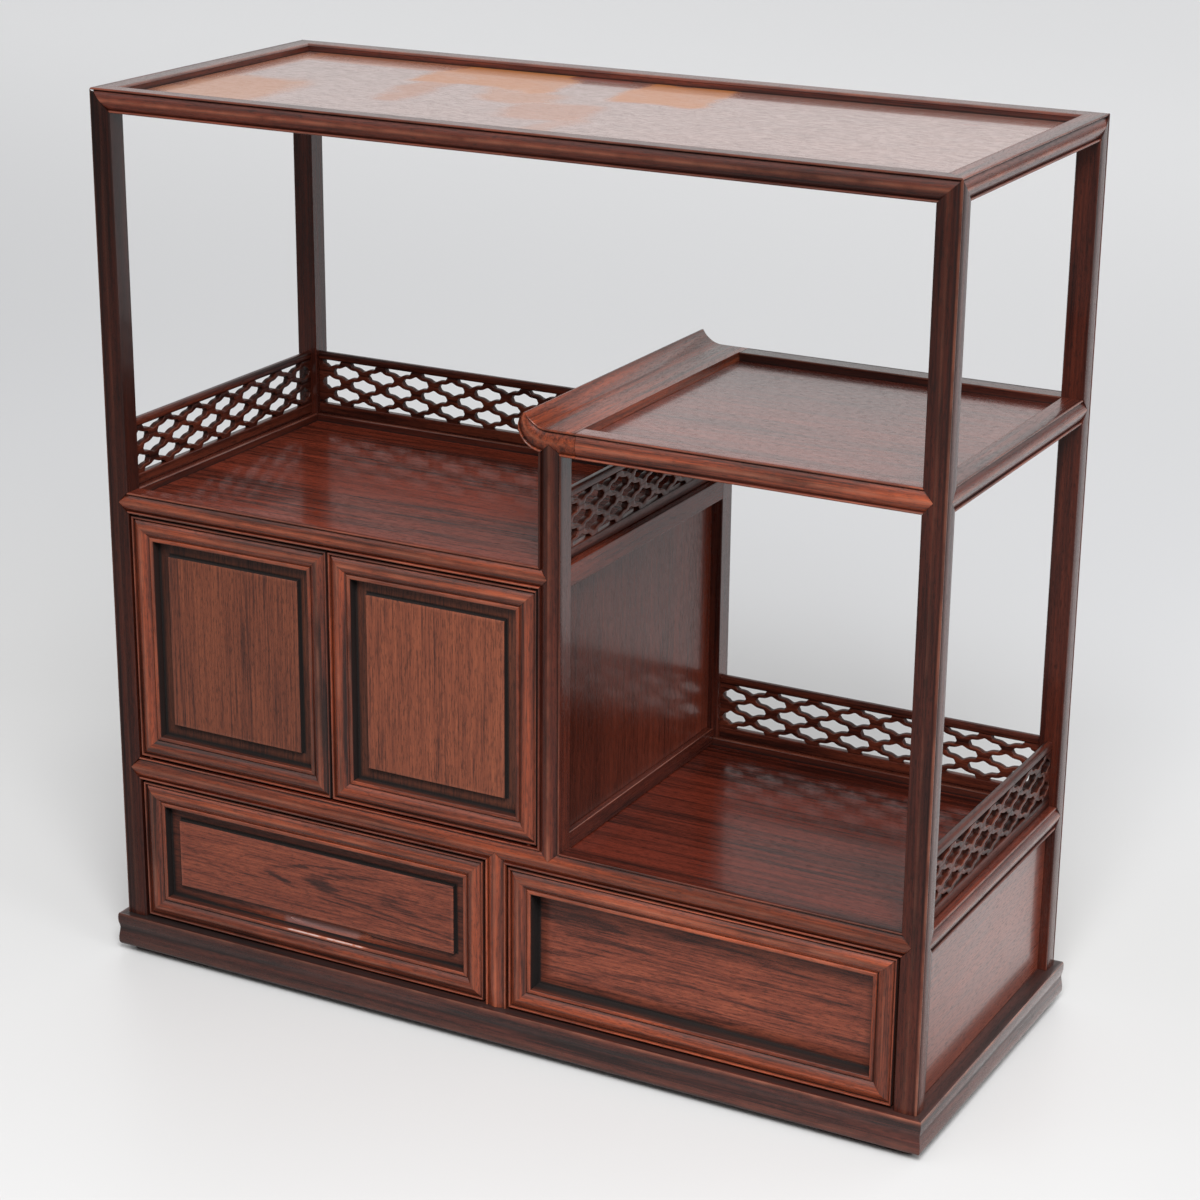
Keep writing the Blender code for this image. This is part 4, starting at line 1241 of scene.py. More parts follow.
@dataclass(frozen=True)
class Carcass:
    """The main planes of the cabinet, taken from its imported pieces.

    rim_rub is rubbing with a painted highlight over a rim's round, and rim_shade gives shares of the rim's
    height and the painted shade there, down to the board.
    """

    left: float
    right: float
    front: float
    back: float
    post_wide: float
    post_deep: float
    plinth_top: float
    top: float
    top_low: float
    divider_left: float
    divider_right: float
    curl_right: float
    rim: float = 0.008
    slope: float = 0.0012
    ledge: float = 0.006
    board: float = 0.008
    rim_round: float = 0.0012
    rim_rub: tuple[float, ...] = (0.0, 0.3, 0.6, 0.6, 0.3, 0.0, 0.0)
    rim_shade: tuple[tuple[float, float], ...] = ((0.8, -0.6), (1.0, -2.0))
    plain_corner: tuple[float, ...] = (1.0, 0.3, 0.0)

    @classmethod
    def measure(cls) -> "Carcass":
        """Read the planes from the CAD boxes.

        Returns:
            The planes of this pack.
        """
        low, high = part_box("post_front_left")
        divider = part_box("divider_post_front")
        return cls(
            left=low.x,
            right=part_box("post_front_right")[1].x,
            front=low.y,
            back=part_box("post_back_left")[1].y,
            post_wide=high.x - low.x,
            post_deep=high.y - low.y,
            plinth_top=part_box("plinth_front")[1].z,
            top=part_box("top_rail_front")[1].z,
            top_low=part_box("top_rail_front")[0].z,
            divider_left=divider[0].x,
            divider_right=divider[1].x,
            curl_right=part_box("shelf_rail_front")[0].x - GAP,
        )

    def face(self, face: Face) -> Place:
        """The axes of a rail which looks out from one side.

        Args:
            face: the side.

        Returns:
            The axes: along the rail, inwards and up.
        """
        origin, inward = {
            Face.FRONT: ((0, self.front, 0), (0, 1, 0)),
            Face.BACK: ((0, self.back, 0), (0, -1, 0)),
            Face.LEFT: ((self.left, 0, 0), (1, 0, 0)),
            Face.RIGHT: ((self.right, 0, 0), (-1, 0, 0)),
            Face.PARTITION: ((self.divider_right, 0, 0), (-1, 0, 0)),
        }[face]
        return Place(origin, (1, 0, 0) if face.wide else (0, 1, 0), inward, (0, 0, 1))

    def depth(self, face: Face) -> float:
        """Depth of a rail at the foot of its rim.

        Args:
            face: the side it looks out from.

        Returns:
            The depth.
        """
        if face is Face.PARTITION:
            return self.divider_right - self.divider_left
        return self.post_deep if face.wide else self.post_wide

    @property
    def inner_front(self) -> float:
        """Plane of the front posts' back faces."""
        return self.front + self.post_deep

    @property
    def inner_back(self) -> float:
        """Plane of the back posts' front faces."""
        return self.back - self.post_deep

    def rail_section(self, low: float, height: float, face: Face, slope: float) -> Section:
        """Outline of a rail: its face, the rounded rim above the board, and the front's and back's ledge.

        Args:
            low: level of its underside.
            height: height of its face.
            face: the side it looks out from; the back and the partition are plain.
            slope: how far the rim leans from its foot to its top.

        Returns:
            The outline with its face first.
        """
        high, depth = low + height, self.depth(face)
        t, drop, rub = MOULDING.face(height)
        if face in (Face.BACK, Face.PARTITION):
            corner = np.array(self.plain_corner) * EASE
            t = np.concatenate((corner[::-1], height - corner))
            drop = np.concatenate((corner, corner[::-1]))
            rub = np.zeros(len(t))
        turn = np.linspace(0.0, math.pi / 2, len(self.rim_rub))
        inward = depth - (slope + self.rim_round) * (1 - np.sin(turn))
        inward[-1] = depth - 0.15 * slope
        level = high - (0.5 * slope + self.rim_round) * (1 - np.cos(turn))
        # Rubbing with a painted highlight over the rim's round.
        rim = np.stack((inward, level, self.rim_rub), -1)
        tail = [(PointedEnd.depth, high, 0.0), *rim.tolist()]
        # Painted shade down the foot of the rim to the board.
        tail += [(depth, high - share * self.rim, dirt_and_shade) for share, dirt_and_shade in self.rim_shade]
        if face.wide:
            shelf = high - self.rim - self.board - GAP
            edge = depth + self.ledge
            tail += [(depth, shelf, 0.0), (edge, shelf, 0.0), (edge, low, 0.0)]
        else:
            tail += [(depth, low + EASE, 0.0), (depth - EASE, low, 0.0)]
        return Section.closed((low + t, drop, rub), [*tail, (PointedEnd.depth, low, 0.0)])

    def post_section(self, moulded: bool) -> Section:
        """Outline of a post as (from side, from face) points: moulded side, moulded or plain face.

        Args:
            moulded: whether the face is moulded, as on the front posts.

        Returns:
            The outline, with the two points where the planes of its mitre part.
        """
        wide, deep = self.post_wide, self.post_deep
        if not moulded:
            t, drop, rub = (values[::-1] for values in POST_MOULDING.face(deep))
            inward = np.append(drop, (EASE, wide - EASE, wide, wide, wide - EASE))
            across = np.append(t, (0.0, 0.0, EASE, deep - EASE, deep))
            corner = len(t) - 1
            return Section(inward, across, np.append(rub, np.zeros(5)), corner, corner, len(inward) - 1)
        t, drop, rub = (values[::-1] for values in POST_MOULDING.corner(deep))
        a, b, bead = POST_MOULDING.corner_bead()
        face = POST_MOULDING.corner(wide)
        inward = np.concatenate((drop, a, face[0], (wide, wide - EASE)))
        across = np.concatenate((t, b, face[1], (deep - EASE, deep)))
        wear_and_shading_rows = np.concatenate((rub, bead, face[2], np.zeros(2)))
        corner = len(t) + len(a) // 2
        return Section(inward, across, wear_and_shading_rows, corner, corner, len(inward) - 1)


@dataclass
class Assembly:
    """A group of pieces which are built and dressed together."""

    pieces: dict[str, Piece] = field(default_factory=dict, init=False)

    def add(
        self, manner: str, node: str, shell: Shell, slot: str = "frame_wood", body: str = BODY
    ) -> Piece:
        """Make the piece which stands for one node.

        Args:
            manner: how it is worked, put before the node in its name.
            node: the CAD node.
            shell: its surfaces.
            slot: the record's material slot.
            body: the body it moves with.

        Returns:
            The piece, which is also kept by its node.
        """
        self.pieces[node] = Piece(manner + "_" + node, shell, [node], slot, body)
        return self.pieces[node]

    def add_bar(self, node: str, section: Section, place: Place, start: End, stop: End) -> None:
        """Make a moulded bar.

        Args:
            node: the CAD node.
            section: its outline.
            place: its axes.
            start: its first end.
            stop: its last end.
        """
        shell = Shell()
        bar(shell, section, place, start, stop)
        self.add("moulded", node, shell)

    def add_board(self, node: str, ease: float, slot: str = "frame_wood", manner: str = "eased") -> None:
        """Make a board which fills its CAD box.

        Args:
            node: the CAD node.
            ease: the radius of its edges.
            slot: the record's material slot.
            manner: how it is worked, put before the node in its name.
        """
        shell = Shell()
        slab(shell, *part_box(node), ease)
        self.add(manner, node, shell, slot)

    def finish(self, node: str, wood: Rosewood, *grains: Grain, level: Rosewood | None = None) -> None:
        """Give a node's piece its finish.

        Args:
            node: the CAD node.
            wood: its finish.
            grains: the axis of the fibres for each mark on its faces.
            level: the finish of the faces which look straight up, where it differs.
        """
        woods = [wood.material(grain) for grain in grains]
        top = level.material(grains[0]) if level else None
        self.pieces[node].dress(woods, TONE_AND_PAINTED_SHADING.get(node, 0.0), top)

    def build(self) -> None:
        """Make the pieces."""
        raise NotImplementedError

    def dress(self) -> None:
        """Give the pieces their finishes."""
        raise NotImplementedError


@dataclass
class Base(Assembly):
    """Foot pads and the mitred plinth moulding.

    The profile is given by cuts into its overhang and rises of its height, and the rubbing and painted
    shading by the first
    point and the values from there on: painted highlights on the torus and the nose, painted shade in the
    cove, and a darker top ledge.
    """

    carcass: Carcass
    pad_ease: float = 0.0015
    rebate: float = 0.008
    floor_thick: float = 0.009
    brim: float = 0.0045
    cut: tuple[float, ...] = (
        0.50, 0.16, 0.02, 0.0, 0.04, 0.11, 0.17, 0.17, 0.11, 0.03, 0.0, 0.0, 0.03, 0.12,
    )
    rise: tuple[float, ...] = (
        0.0, 0.03, 0.09, 0.19, 0.31, 0.42, 0.52, 0.57, 0.64, 0.72, 0.80, 0.89, 0.96, 1.0,
    )
    points: int = 40
    wear_and_light: tuple[tuple[int, tuple[float, ...]], ...] = (
        (6, (0.25, 0.25, 0.25, 0.25, 0.25, 0.25)),
        (17, (-0.2, -0.5, -0.8, -0.8, -0.6, -0.4, -0.2)),
        (33, (0.1, 0.3, 0.6, 0.9, 1.2, 1.2)),
        (40, (-1.4, -1.4)),
    )

    def smooth(self, values: Sequence[float]) -> Array:
        """Values spread over the profile's points, each averaged 1 : 2 : 1 with its neighbours.

        Args:
            values: at even steps along the profile.

        Returns:
            One value for each point.
        """
        shares = np.linspace(0, 1, self.points), np.linspace(0, 1, len(values))
        dense = np.interp(*shares, values)
        padded = np.concatenate((dense[:1], dense, dense[-1:]))
        return np.convolve(padded, np.array(SMOOTHING), "valid")

    def section(self) -> Section:
        """The plinth's outline: a torus, a shallow cove and a nose, then the rebate behind them.

        Returns:
            The outline, from the foot of its face up and round.
        """
        low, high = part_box("plinth_front")
        front = self.carcass.front
        inner = high.y - front
        step = high.z - self.floor_thick - GAP
        back = inner - self.rebate
        n = (self.smooth(self.cut) - 1) * (front - low.y)
        n = np.append(n, (-self.brim, 0.0, back, back, inner, inner))
        t = low.z + self.smooth(self.rise) * (high.z - low.z)
        t = np.append(t, (high.z, high.z, high.z, step, step, low.z))
        # Rubbing and painted light along the profile: painted highlights on the torus and the nose, painted
        # shade in the cove, darker on the top ledge.
        rub = np.zeros(n.shape)
        for first, values in self.wear_and_light:
            rub[first : first + len(values)] = values
        return Section(n, t, rub)

    def build(self) -> None:
        """Carry the plinth's profile round the four sides, and make the pads."""
        c = self.carcass
        section = self.section()
        for face in (Face.FRONT, Face.BACK, Face.LEFT, Face.RIGHT):
            corner = (c.right if face.wide else c.back) - HAIR
            ends = End(-corner, by_inward=1), End(corner, by_inward=-1)
            self.add_bar("plinth_" + face.value, section, c.face(face), *ends)
        for place in ("front_left", "front_right", "back_left", "back_right"):
            self.add_board("foot_" + place, self.pad_ease)

    def dress(self) -> None:
        """Dark wood, its grain along each side."""
        for node in self.pieces:
            along = node in ("plinth_left", "plinth_right")
            self.finish(node, PLINTH_WOOD, Grain.DEPTH if along else Grain.ACROSS)


@dataclass
class Posts(Assembly):
    """Four corner posts with a bead on each outer corner."""

    carcass: Carcass

    def build(self) -> None:
        """Carry the post's section up to its three-way mitre."""
        c = self.carcass
        for side, x, sx in (("left", c.left, 1), ("right", c.right, -1)):
            for place, y, sy in (("front", c.front, 1), ("back", c.back, -1)):
                section = c.post_section(place == "front")
                axes = Place((x, y, 0), (0, 0, 1), (sx, 0, 0), (0, sy, 0))
                split = (section.face, section.low)
                stop = PeakedEnd(c.top - HAIR, c.top_low - c.top, c.post_wide, 0.0, c.post_deep, split)
                self.add_bar("post_" + place + "_" + side, section, axes, End(c.plinth_top + GAP), stop)

    def dress(self) -> None:
        """Upright grain."""
        for node in self.pieces:
            self.finish(node, FRAME_WOOD, Grain.UPRIGHT)


@dataclass
class TopFrame(Assembly):
    """The mitred top rails and the panel sunk between them."""

    carcass: Carcass
    slope: float = 0.004
    ease: float = 0.0005

    def build(self) -> None:
        """Carry the rail's section between two three-way mitres on each side."""
        c = self.carcass
        high = c.top - c.top_low
        for face in (Face.FRONT, Face.BACK, Face.LEFT, Face.RIGHT):
            corner, along = (c.right, c.post_wide) if face.wide else (c.back, c.post_deep)
            section = c.rail_section(c.top_low, high, face, self.slope)
            split = (section.face - 1, section.low - 1)
            ends = [
                PeakedEnd(sign * (corner - HAIR), -sign * along, c.depth(face), c.top, high, split)
                for sign in (-1, 1)
            ]
            self.add_bar("top_rail_" + face.value, section, c.face(face), *ends)
        self.add_board("top_panel", self.ease, "top_wood", "faded")

    def dress(self) -> None:
        """Grain along each rail; the panel has its bleached places and a painted reflection of the back
        rail.
        """
        for node in self.pieces:
            grain = Grain.DEPTH if node.endswith(("left", "right")) else Grain.ACROSS
            self.finish(node, TOP_WOOD if node == "top_panel" else FRAME_WOOD, grain)


@dataclass(frozen=True)
class RailPlan:
    """One rail: its node, the side it looks out from, and the pieces its two ends point into."""

    node: str
    face: Face
    into: tuple[str | None, str | None] = (None, None)


@dataclass
class ShelfRails(Assembly):
    """The rails of the three shelves, pointed into the faces of the uprights."""

    carcass: Carcass
    posts: Posts
    uprights: "Uprights"
    plans: tuple[RailPlan, ...] = (
        RailPlan("middle_rail_front", Face.FRONT, ("post_front_left", "post_front_right")),
        RailPlan("middle_rail_back", Face.BACK),
        RailPlan("middle_rail_left", Face.LEFT, ("post_front_left", "post_back_left")),
        RailPlan("middle_rail_right", Face.RIGHT, ("post_front_right", "post_back_right")),
        RailPlan("head_rail_front", Face.FRONT, ("post_front_left", "divider_post_front")),
        RailPlan("head_rail_back", Face.BACK),
        RailPlan("head_rail_left", Face.LEFT, ("post_front_left", "post_back_left")),
        RailPlan("partition_rail", Face.PARTITION),
        RailPlan("shelf_rail_front", Face.FRONT, (None, "post_front_right")),
        RailPlan("shelf_rail_back", Face.BACK),
        RailPlan("shelf_rail_right", Face.RIGHT, ("post_front_right", "post_back_right")),
    )
    shelves: dict[str, Rosewood] = field(
        default_factory=lambda: {"shelf_rail_front": DULL_SHELF, "middle_rail_front": LOWER_SHELF}
    )

    def span(self, plan: RailPlan) -> tuple[float, float]:
        """The faces which the rail's shoulders meet.

        Args:
            plan: the rail.

        Returns:
            The two planes, in order along the rail.
        """
        c = self.carcass
        if not plan.face.wide:
            return c.inner_front, c.inner_back
        left = c.curl_right if plan.node.startswith("shelf") else c.left + c.post_wide
        right = c.divider_left if plan.node.startswith("head") else c.right - c.post_wide
        return left, right

    def build(self) -> None:
        """Carry each rail's section between its ends, and notch the uprights for its points."""
        c = self.carcass
        uprights = {**self.posts.pieces, **self.uprights.pieces}
        for plan in self.plans:
            low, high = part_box(plan.node)
            height = high.z - low.z
            place = c.face(plan.face)
            ends: list[End] = []
            for face, other, sign in zip(self.span(plan), plan.into, (-1, 1)):
                shoulder = face - sign * GAP / 2
                if other:
                    end = PointedEnd(shoulder, sign, low.z, height)
                    uprights[other].carve(end.notch(face, place))
                else:
                    end = End(shoulder)
                ends.append(end)
            self.add_bar(plan.node, c.rail_section(low.z, height, plan.face, c.slope), place, *ends)

    def dress(self) -> None:
        """Grain along each rail; the front ones are warmer, and their tops match the shelves."""
        woods = {Face.FRONT: WARM_FRAME, Face.PARTITION: PARTITION_WOOD}
        for plan in self.plans:
            level = self.shelves.get(plan.node, SHELF_WOOD) if plan.face is Face.FRONT else None
            self.finish(plan.node, woods.get(plan.face, FRAME_WOOD), plan.face.grain, level=level)


@dataclass
class Uprights(Assembly):
    """The divider posts, the stile between the drawers and the strip under the partition."""

    carcass: Carcass
    ease: float = 0.0010
    points: list[tuple[str, PointedEnd, float, Place]] = field(default_factory=list)

    def build(self) -> None:
        """Carry the sections up between the rails; the front ones are pointed into them."""
        c = self.carcass
        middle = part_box("middle_rail_front")
        shelf_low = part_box("shelf_rail_front")[0].z
        place = Place((0, c.front, 0), (0, 0, 1), (0, 1, 0), (1, 0, 0))
        left, wide = c.divider_left, c.divider_right - c.divider_left
        low = PointedEnd(middle[1].z + GAP / 2, -1, left, wide)
        high = PointedEnd(shelf_low - GAP / 2, 1, left, wide)
        self.points.append(("middle_rail_front", low, middle[1].z, place))
        self.points.append(("shelf_curled_end", high, shelf_low, place))
        self.add_bar("divider_post_front", self.section(left, wide), place, low, high)
        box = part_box("drawer_stile")
        left, wide = box[0].x, box[1].x - box[0].x
        high = PointedEnd(middle[0].z - GAP / 2, 1, left, wide)
        self.points.append(("middle_rail_front", high, middle[0].z, place))
        self.add_bar("drawer_stile", self.section(left, wide), place, End(box[0].z), high)
        for node in ("divider_post_back", "partition_strip"):
            self.add_board(node, self.ease)

    def section(self, left: float, wide: float) -> Section:
        """Outline of an upright with a moulded front and plain sides.

        Args:
            left: the plane of its left side.
            wide: its width.

        Returns:
            The outline with the front face first, from left to right.
        """
        t, drop, rub = MOULDING.face(wide)
        near, far = PointedEnd.depth, self.carcass.post_deep
        right = left + wide
        tail = ((near, right, 0.0), (far, right, 0.0), (far, left, 0.0), (near, left, 0.0))
        return Section.closed((left + t, drop, rub), tail)

    def join(self, others: dict[str, Piece]) -> None:
        """Notch the rails which take the points of the uprights."""
        for node, end, face, place in self.points:
            others[node].carve(end.notch(face, place))

    def dress(self) -> None:
        """Upright grain, and grain along the strip."""
        for node in self.pieces:
            wood = WARM_FRAME if node == "drawer_stile" else FRAME_WOOD
            self.finish(node, wood, Grain.DEPTH if node == "partition_strip" else Grain.UPRIGHT)


@dataclass
class CurledEnd(Assembly):
    """The left end of the upper shelf, swept up into a thin curled lip."""

    carcass: Carcass
    under: tuple[tuple[float, float], ...] = (
        (0.0857, 0.6210), (0.0700, 0.6210), (0.0580, 0.6210), (0.0480, 0.6222), (0.0400, 0.6243),
        (0.0330, 0.6288), (0.0286, 0.6345), (0.0260, 0.6410), (0.0259, 0.6470), (0.0278, 0.6530),
        (0.0322, 0.6584),
    )
    over: tuple[tuple[float, float], ...] = (
        (0.0857, 0.6455), (0.0700, 0.6455), (0.0600, 0.6455), (0.0540, 0.6456), (0.0500, 0.6463),
        (0.0470, 0.6473), (0.0436, 0.6492), (0.0405, 0.6514), (0.0378, 0.6538), (0.0358, 0.6562),
        (0.0340, 0.6587),
    )
    steps: int = 61
    passes: int = 3
    thinnest: float = 0.15
    back_edge: tuple[float, ...] = (1.0, 0.97, 0.03, 0.0)

    def curve(self, points: Sequence[tuple[float, float]]) -> Array:
        """A smooth line: straight between the points, then averaged three times over its neighbours.

        Args:
            points: pairs of (x, z).

        Returns:
            The pairs along the line.
        """
        shares = np.linspace(0, 1, self.steps), np.linspace(0, 1, len(points))
        line = np.stack([np.interp(*shares, values) for values in np.transpose(points)], -1)
        before, own, after = SMOOTHING
        for _ in range(self.passes):
            line[1:-1] = before * line[:-2] + own * line[1:-1] + after * line[2:]
        return line

    def build(self) -> None:
        """Carry the moulded face along the curl: P = lerp(under(s), over(s), t), its drop scaled with s."""
        c = self.carcass
        under, over = self.curve(self.under), self.curve(self.over)
        low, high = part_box("shelf_rail_front")
        height = high.z - low.z
        t, drop, rub = MOULDING.face(height)
        share = np.append(t / height, self.back_edge)
        scale = np.clip(np.linalg.norm(over - under, axis=1) / height, self.thinnest, 1.0)
        front = c.front + drop[None, :] * scale[:, None]
        back = c.back - np.array((EASE, 0.0, 0.0, EASE))
        y = np.concatenate((front, np.broadcast_to(back, (len(scale), len(back)))), axis=1)
        line = under[:, None] + (over - under)[:, None] * share[None, :, None]
        points = np.stack((line[..., 0], y, line[..., 1]), -1)
        shell = Shell().tube(points, np.append(rub, np.zeros(len(back)))[None])
        node = "shelf_curled_end"
        self.pieces[node] = Piece("curled_shelf_end", shell, [node], "frame_wood")
        self.pieces[node].carve(self.sunk_rim())

    def sunk_rim(self) -> Shell:
        """The cutter for the sloping rim: rectangles which widen by the slope over the rim's depth.

        Returns:
            The cutter.
        """
        c = self.carcass
        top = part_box("shelf_rail_front")[1].z
        rise = np.array((-c.rim, c.rim))
        spread = c.slope * (rise + c.rim) / c.rim
        left, right = c.curl_right - GAP - spread, np.full(2, c.right)
        x, y = rectangles(left, right, c.inner_front - spread, c.inner_back + spread)
        z = np.broadcast_to((top + rise)[:, None], x.shape)
        return Shell().tube(np.stack((x, y, z), -1))

    def dress(self) -> None:
        """Grain from front to back, as on the lip."""
        self.finish("shelf_curled_end", CURL_WOOD, Grain.DEPTH)


@dataclass
class Boards(Assembly):
    """Shelf boards, fixed panels and hidden boards, each with its slot, finish and grain."""

    ease: float = 0.0005
    boards: tuple[tuple[str, str, Rosewood, Grain], ...] = (
        ("lower_shelf_board", "shelf_wood", LOWER_SHELF, Grain.ACROSS),
        ("cabinet_top_board", "shelf_wood", SHELF_WOOD, Grain.ACROSS),
        ("upper_shelf_board", "shelf_wood", DULL_SHELF, Grain.ACROSS),
        ("cabinet_side_panel", "side_wood", SIDE_WOOD, Grain.UPRIGHT),
        ("drawer_side_left", "side_wood", SIDE_WOOD, Grain.DEPTH),
        ("drawer_side_right", "side_wood", SIDE_WOOD, Grain.DEPTH),
        ("partition_panel", "side_wood", PARTITION_WOOD, Grain.UPRIGHT),
        ("cabinet_back_panel", "inner_wood", INNER_WOOD, Grain.UPRIGHT),
        ("drawer_back_panel", "inner_wood", INNER_WOOD, Grain.ACROSS),
        ("bottom_board", "inner_wood", INNER_WOOD, Grain.ACROSS),
        ("drawer_guide", "inner_wood", INNER_WOOD, Grain.DEPTH),
    )

    def build(self) -> None:
        """One board with eased edges for each node."""
        for node, slot, _, _ in self.boards:
            self.add_board(node, self.ease, slot)

    def dress(self) -> None:
        """Each board's own wood."""
        for node, _, wood, grain in self.boards:
            self.finish(node, wood, grain)


@dataclass
class Gallery(Assembly):
    """A pierced gallery: two rails and wavy strands which meet between its openings.

    away and rise are the outline of an opening: distances from its middle and half heights there.
    """

    node: str
    columns: int
    first: int
    rows: int = 4
    row: float = 0.0123
    base: float = 0.0110
    cap: float = 0.0087
    end: float = 0.0114
    stub: float = 0.45
    round: float = 0.0009
    thin: float = 0.0011
    pitch: float = 0.02335
    away: tuple[float, ...] = (0.0, 0.002, 0.004, 0.006, 0.008, 0.011, 0.014, 0.0155, 0.0163, 0.0166, 0.03)
    rise: tuple[float, ...] = (
        0.0079, 0.0071, 0.0060, 0.0051, 0.0045, 0.0042, 0.0040, 0.0034, 0.0022, -0.0002, -0.0002,
    )
    opens: float = 0.0012
    shut: float = 0.04
    steps: int = 12
    base_ease: float = 0.0010
    cap_ease: float = 0.0024
    # Rubbing with a painted highlight on the strands' round edges, and painted shade on the faces that line
    # the openings.
    wear_and_light: tuple[float, ...] = (0.0, 0.8, -0.9, -0.9, 0.8, 0.0)

    def place(self) -> tuple[Place, float, float, float]:
        """Where the gallery lies.

        Returns:
            Its axes, half length, half thickness and height.
        """
        low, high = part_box(self.node)
        size = high - low
        middle = (low + high) / 2
        axes = ((1, 0, 0), (0, 1, 0)) if size.x > size.y else ((0, 1, 0), (1, 0, 0))
        half, thick = max(size.x, size.y) / 2, min(size.x, size.y) / 2
        return Place((middle.x, middle.y, low.z), *axes, (0, 0, 1)), half, thick, size.z

    def opening(self, phase: Array, row: int) -> Array:
        """Half height of a row's opening at each place: a drawn-out lozenge with blunt ends.

        Args:
            phase: places along the gallery, counted in columns.
            row: the row, from the lowest.

        Returns:
            The half heights.
        """
        offset = (self.first - row) % 2
        last = self.columns - (self.columns - offset) % 2
        middle = np.clip(offset + 2 * np.round((phase - offset) / 2), offset, last)
        return np.interp(np.abs(phase - middle) * self.pitch, self.away, self.rise)

    def strand(self, shell: Shell, place: Place, half: float, thick: float, row: int) -> None:
        """A strand between two rows: from row z + the opening under it to the next z - the opening over it.

        Args:
            shell: where the surface goes.
            place: the gallery's axes.
            half: half its length.
            thick: half its thickness.
            row: the row under the strand.
        """
        s = np.linspace(-half, half, self.columns * self.steps + 1)[:, None]
        phase = (s + half - self.end) / ((2 * half - 2 * self.end) / self.columns)
        phase = np.where(phase < 0, phase / self.stub, phase)
        phase = np.where(phase > self.columns, self.columns + (phase - self.columns) / self.stub, phase)
        under, over = self.opening(phase, row), self.opening(phase, row + 1)
        low = self.base + self.row * row + under
        high = self.base + self.row * (row + 1) - over
        soft, firm = (np.clip(gap / self.opens, self.shut, 1.0) * self.round for gap in (under, over))
        turn = np.linspace(0, math.pi / 2, 3)
        out, back = 1 - np.sin(turn), 1 - np.cos(turn)
        t = (low + soft * out, low + soft * out[::-1], high - firm * out, high - firm * out[::-1])
        n = (soft * back - thick, thick - soft * back[::-1], thick - firm * back, firm * back[::-1] - thick)
        n, t = np.concatenate(n, 1), np.concatenate(t, 1)
        shell.tube(place.lay(np.broadcast_to(s, n.shape), n, t), np.tile(self.wear_and_light, 2)[None])

    def build(self) -> None:
        """The strands, row by row, between the two rails."""
        place, half, thick, height = self.place()
        shell = Shell()
        for row in range(self.rows):
            self.strand(shell, place, half, thick - self.thin, row)
        thick -= self.thin / 2
        rails = ((0.0, self.base, self.base_ease), (height - self.cap, height, self.cap_ease))
        for low, high, ease in rails:
            section = plain_section(high - low, 2 * thick, ease)
            section.inward -= thick
            section.across += low
            bar(shell, section, place, End(-half), End(half))
        self.add("wavy", self.node, shell, "lattice_wood")

    def dress(self) -> None:
        """Grain along the gallery."""
        low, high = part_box(self.node)
        wide = high.x - low.x > high.y - low.y
        self.finish(self.node, LATTICE_WOOD, Grain.ACROSS if wide else Grain.DEPTH)


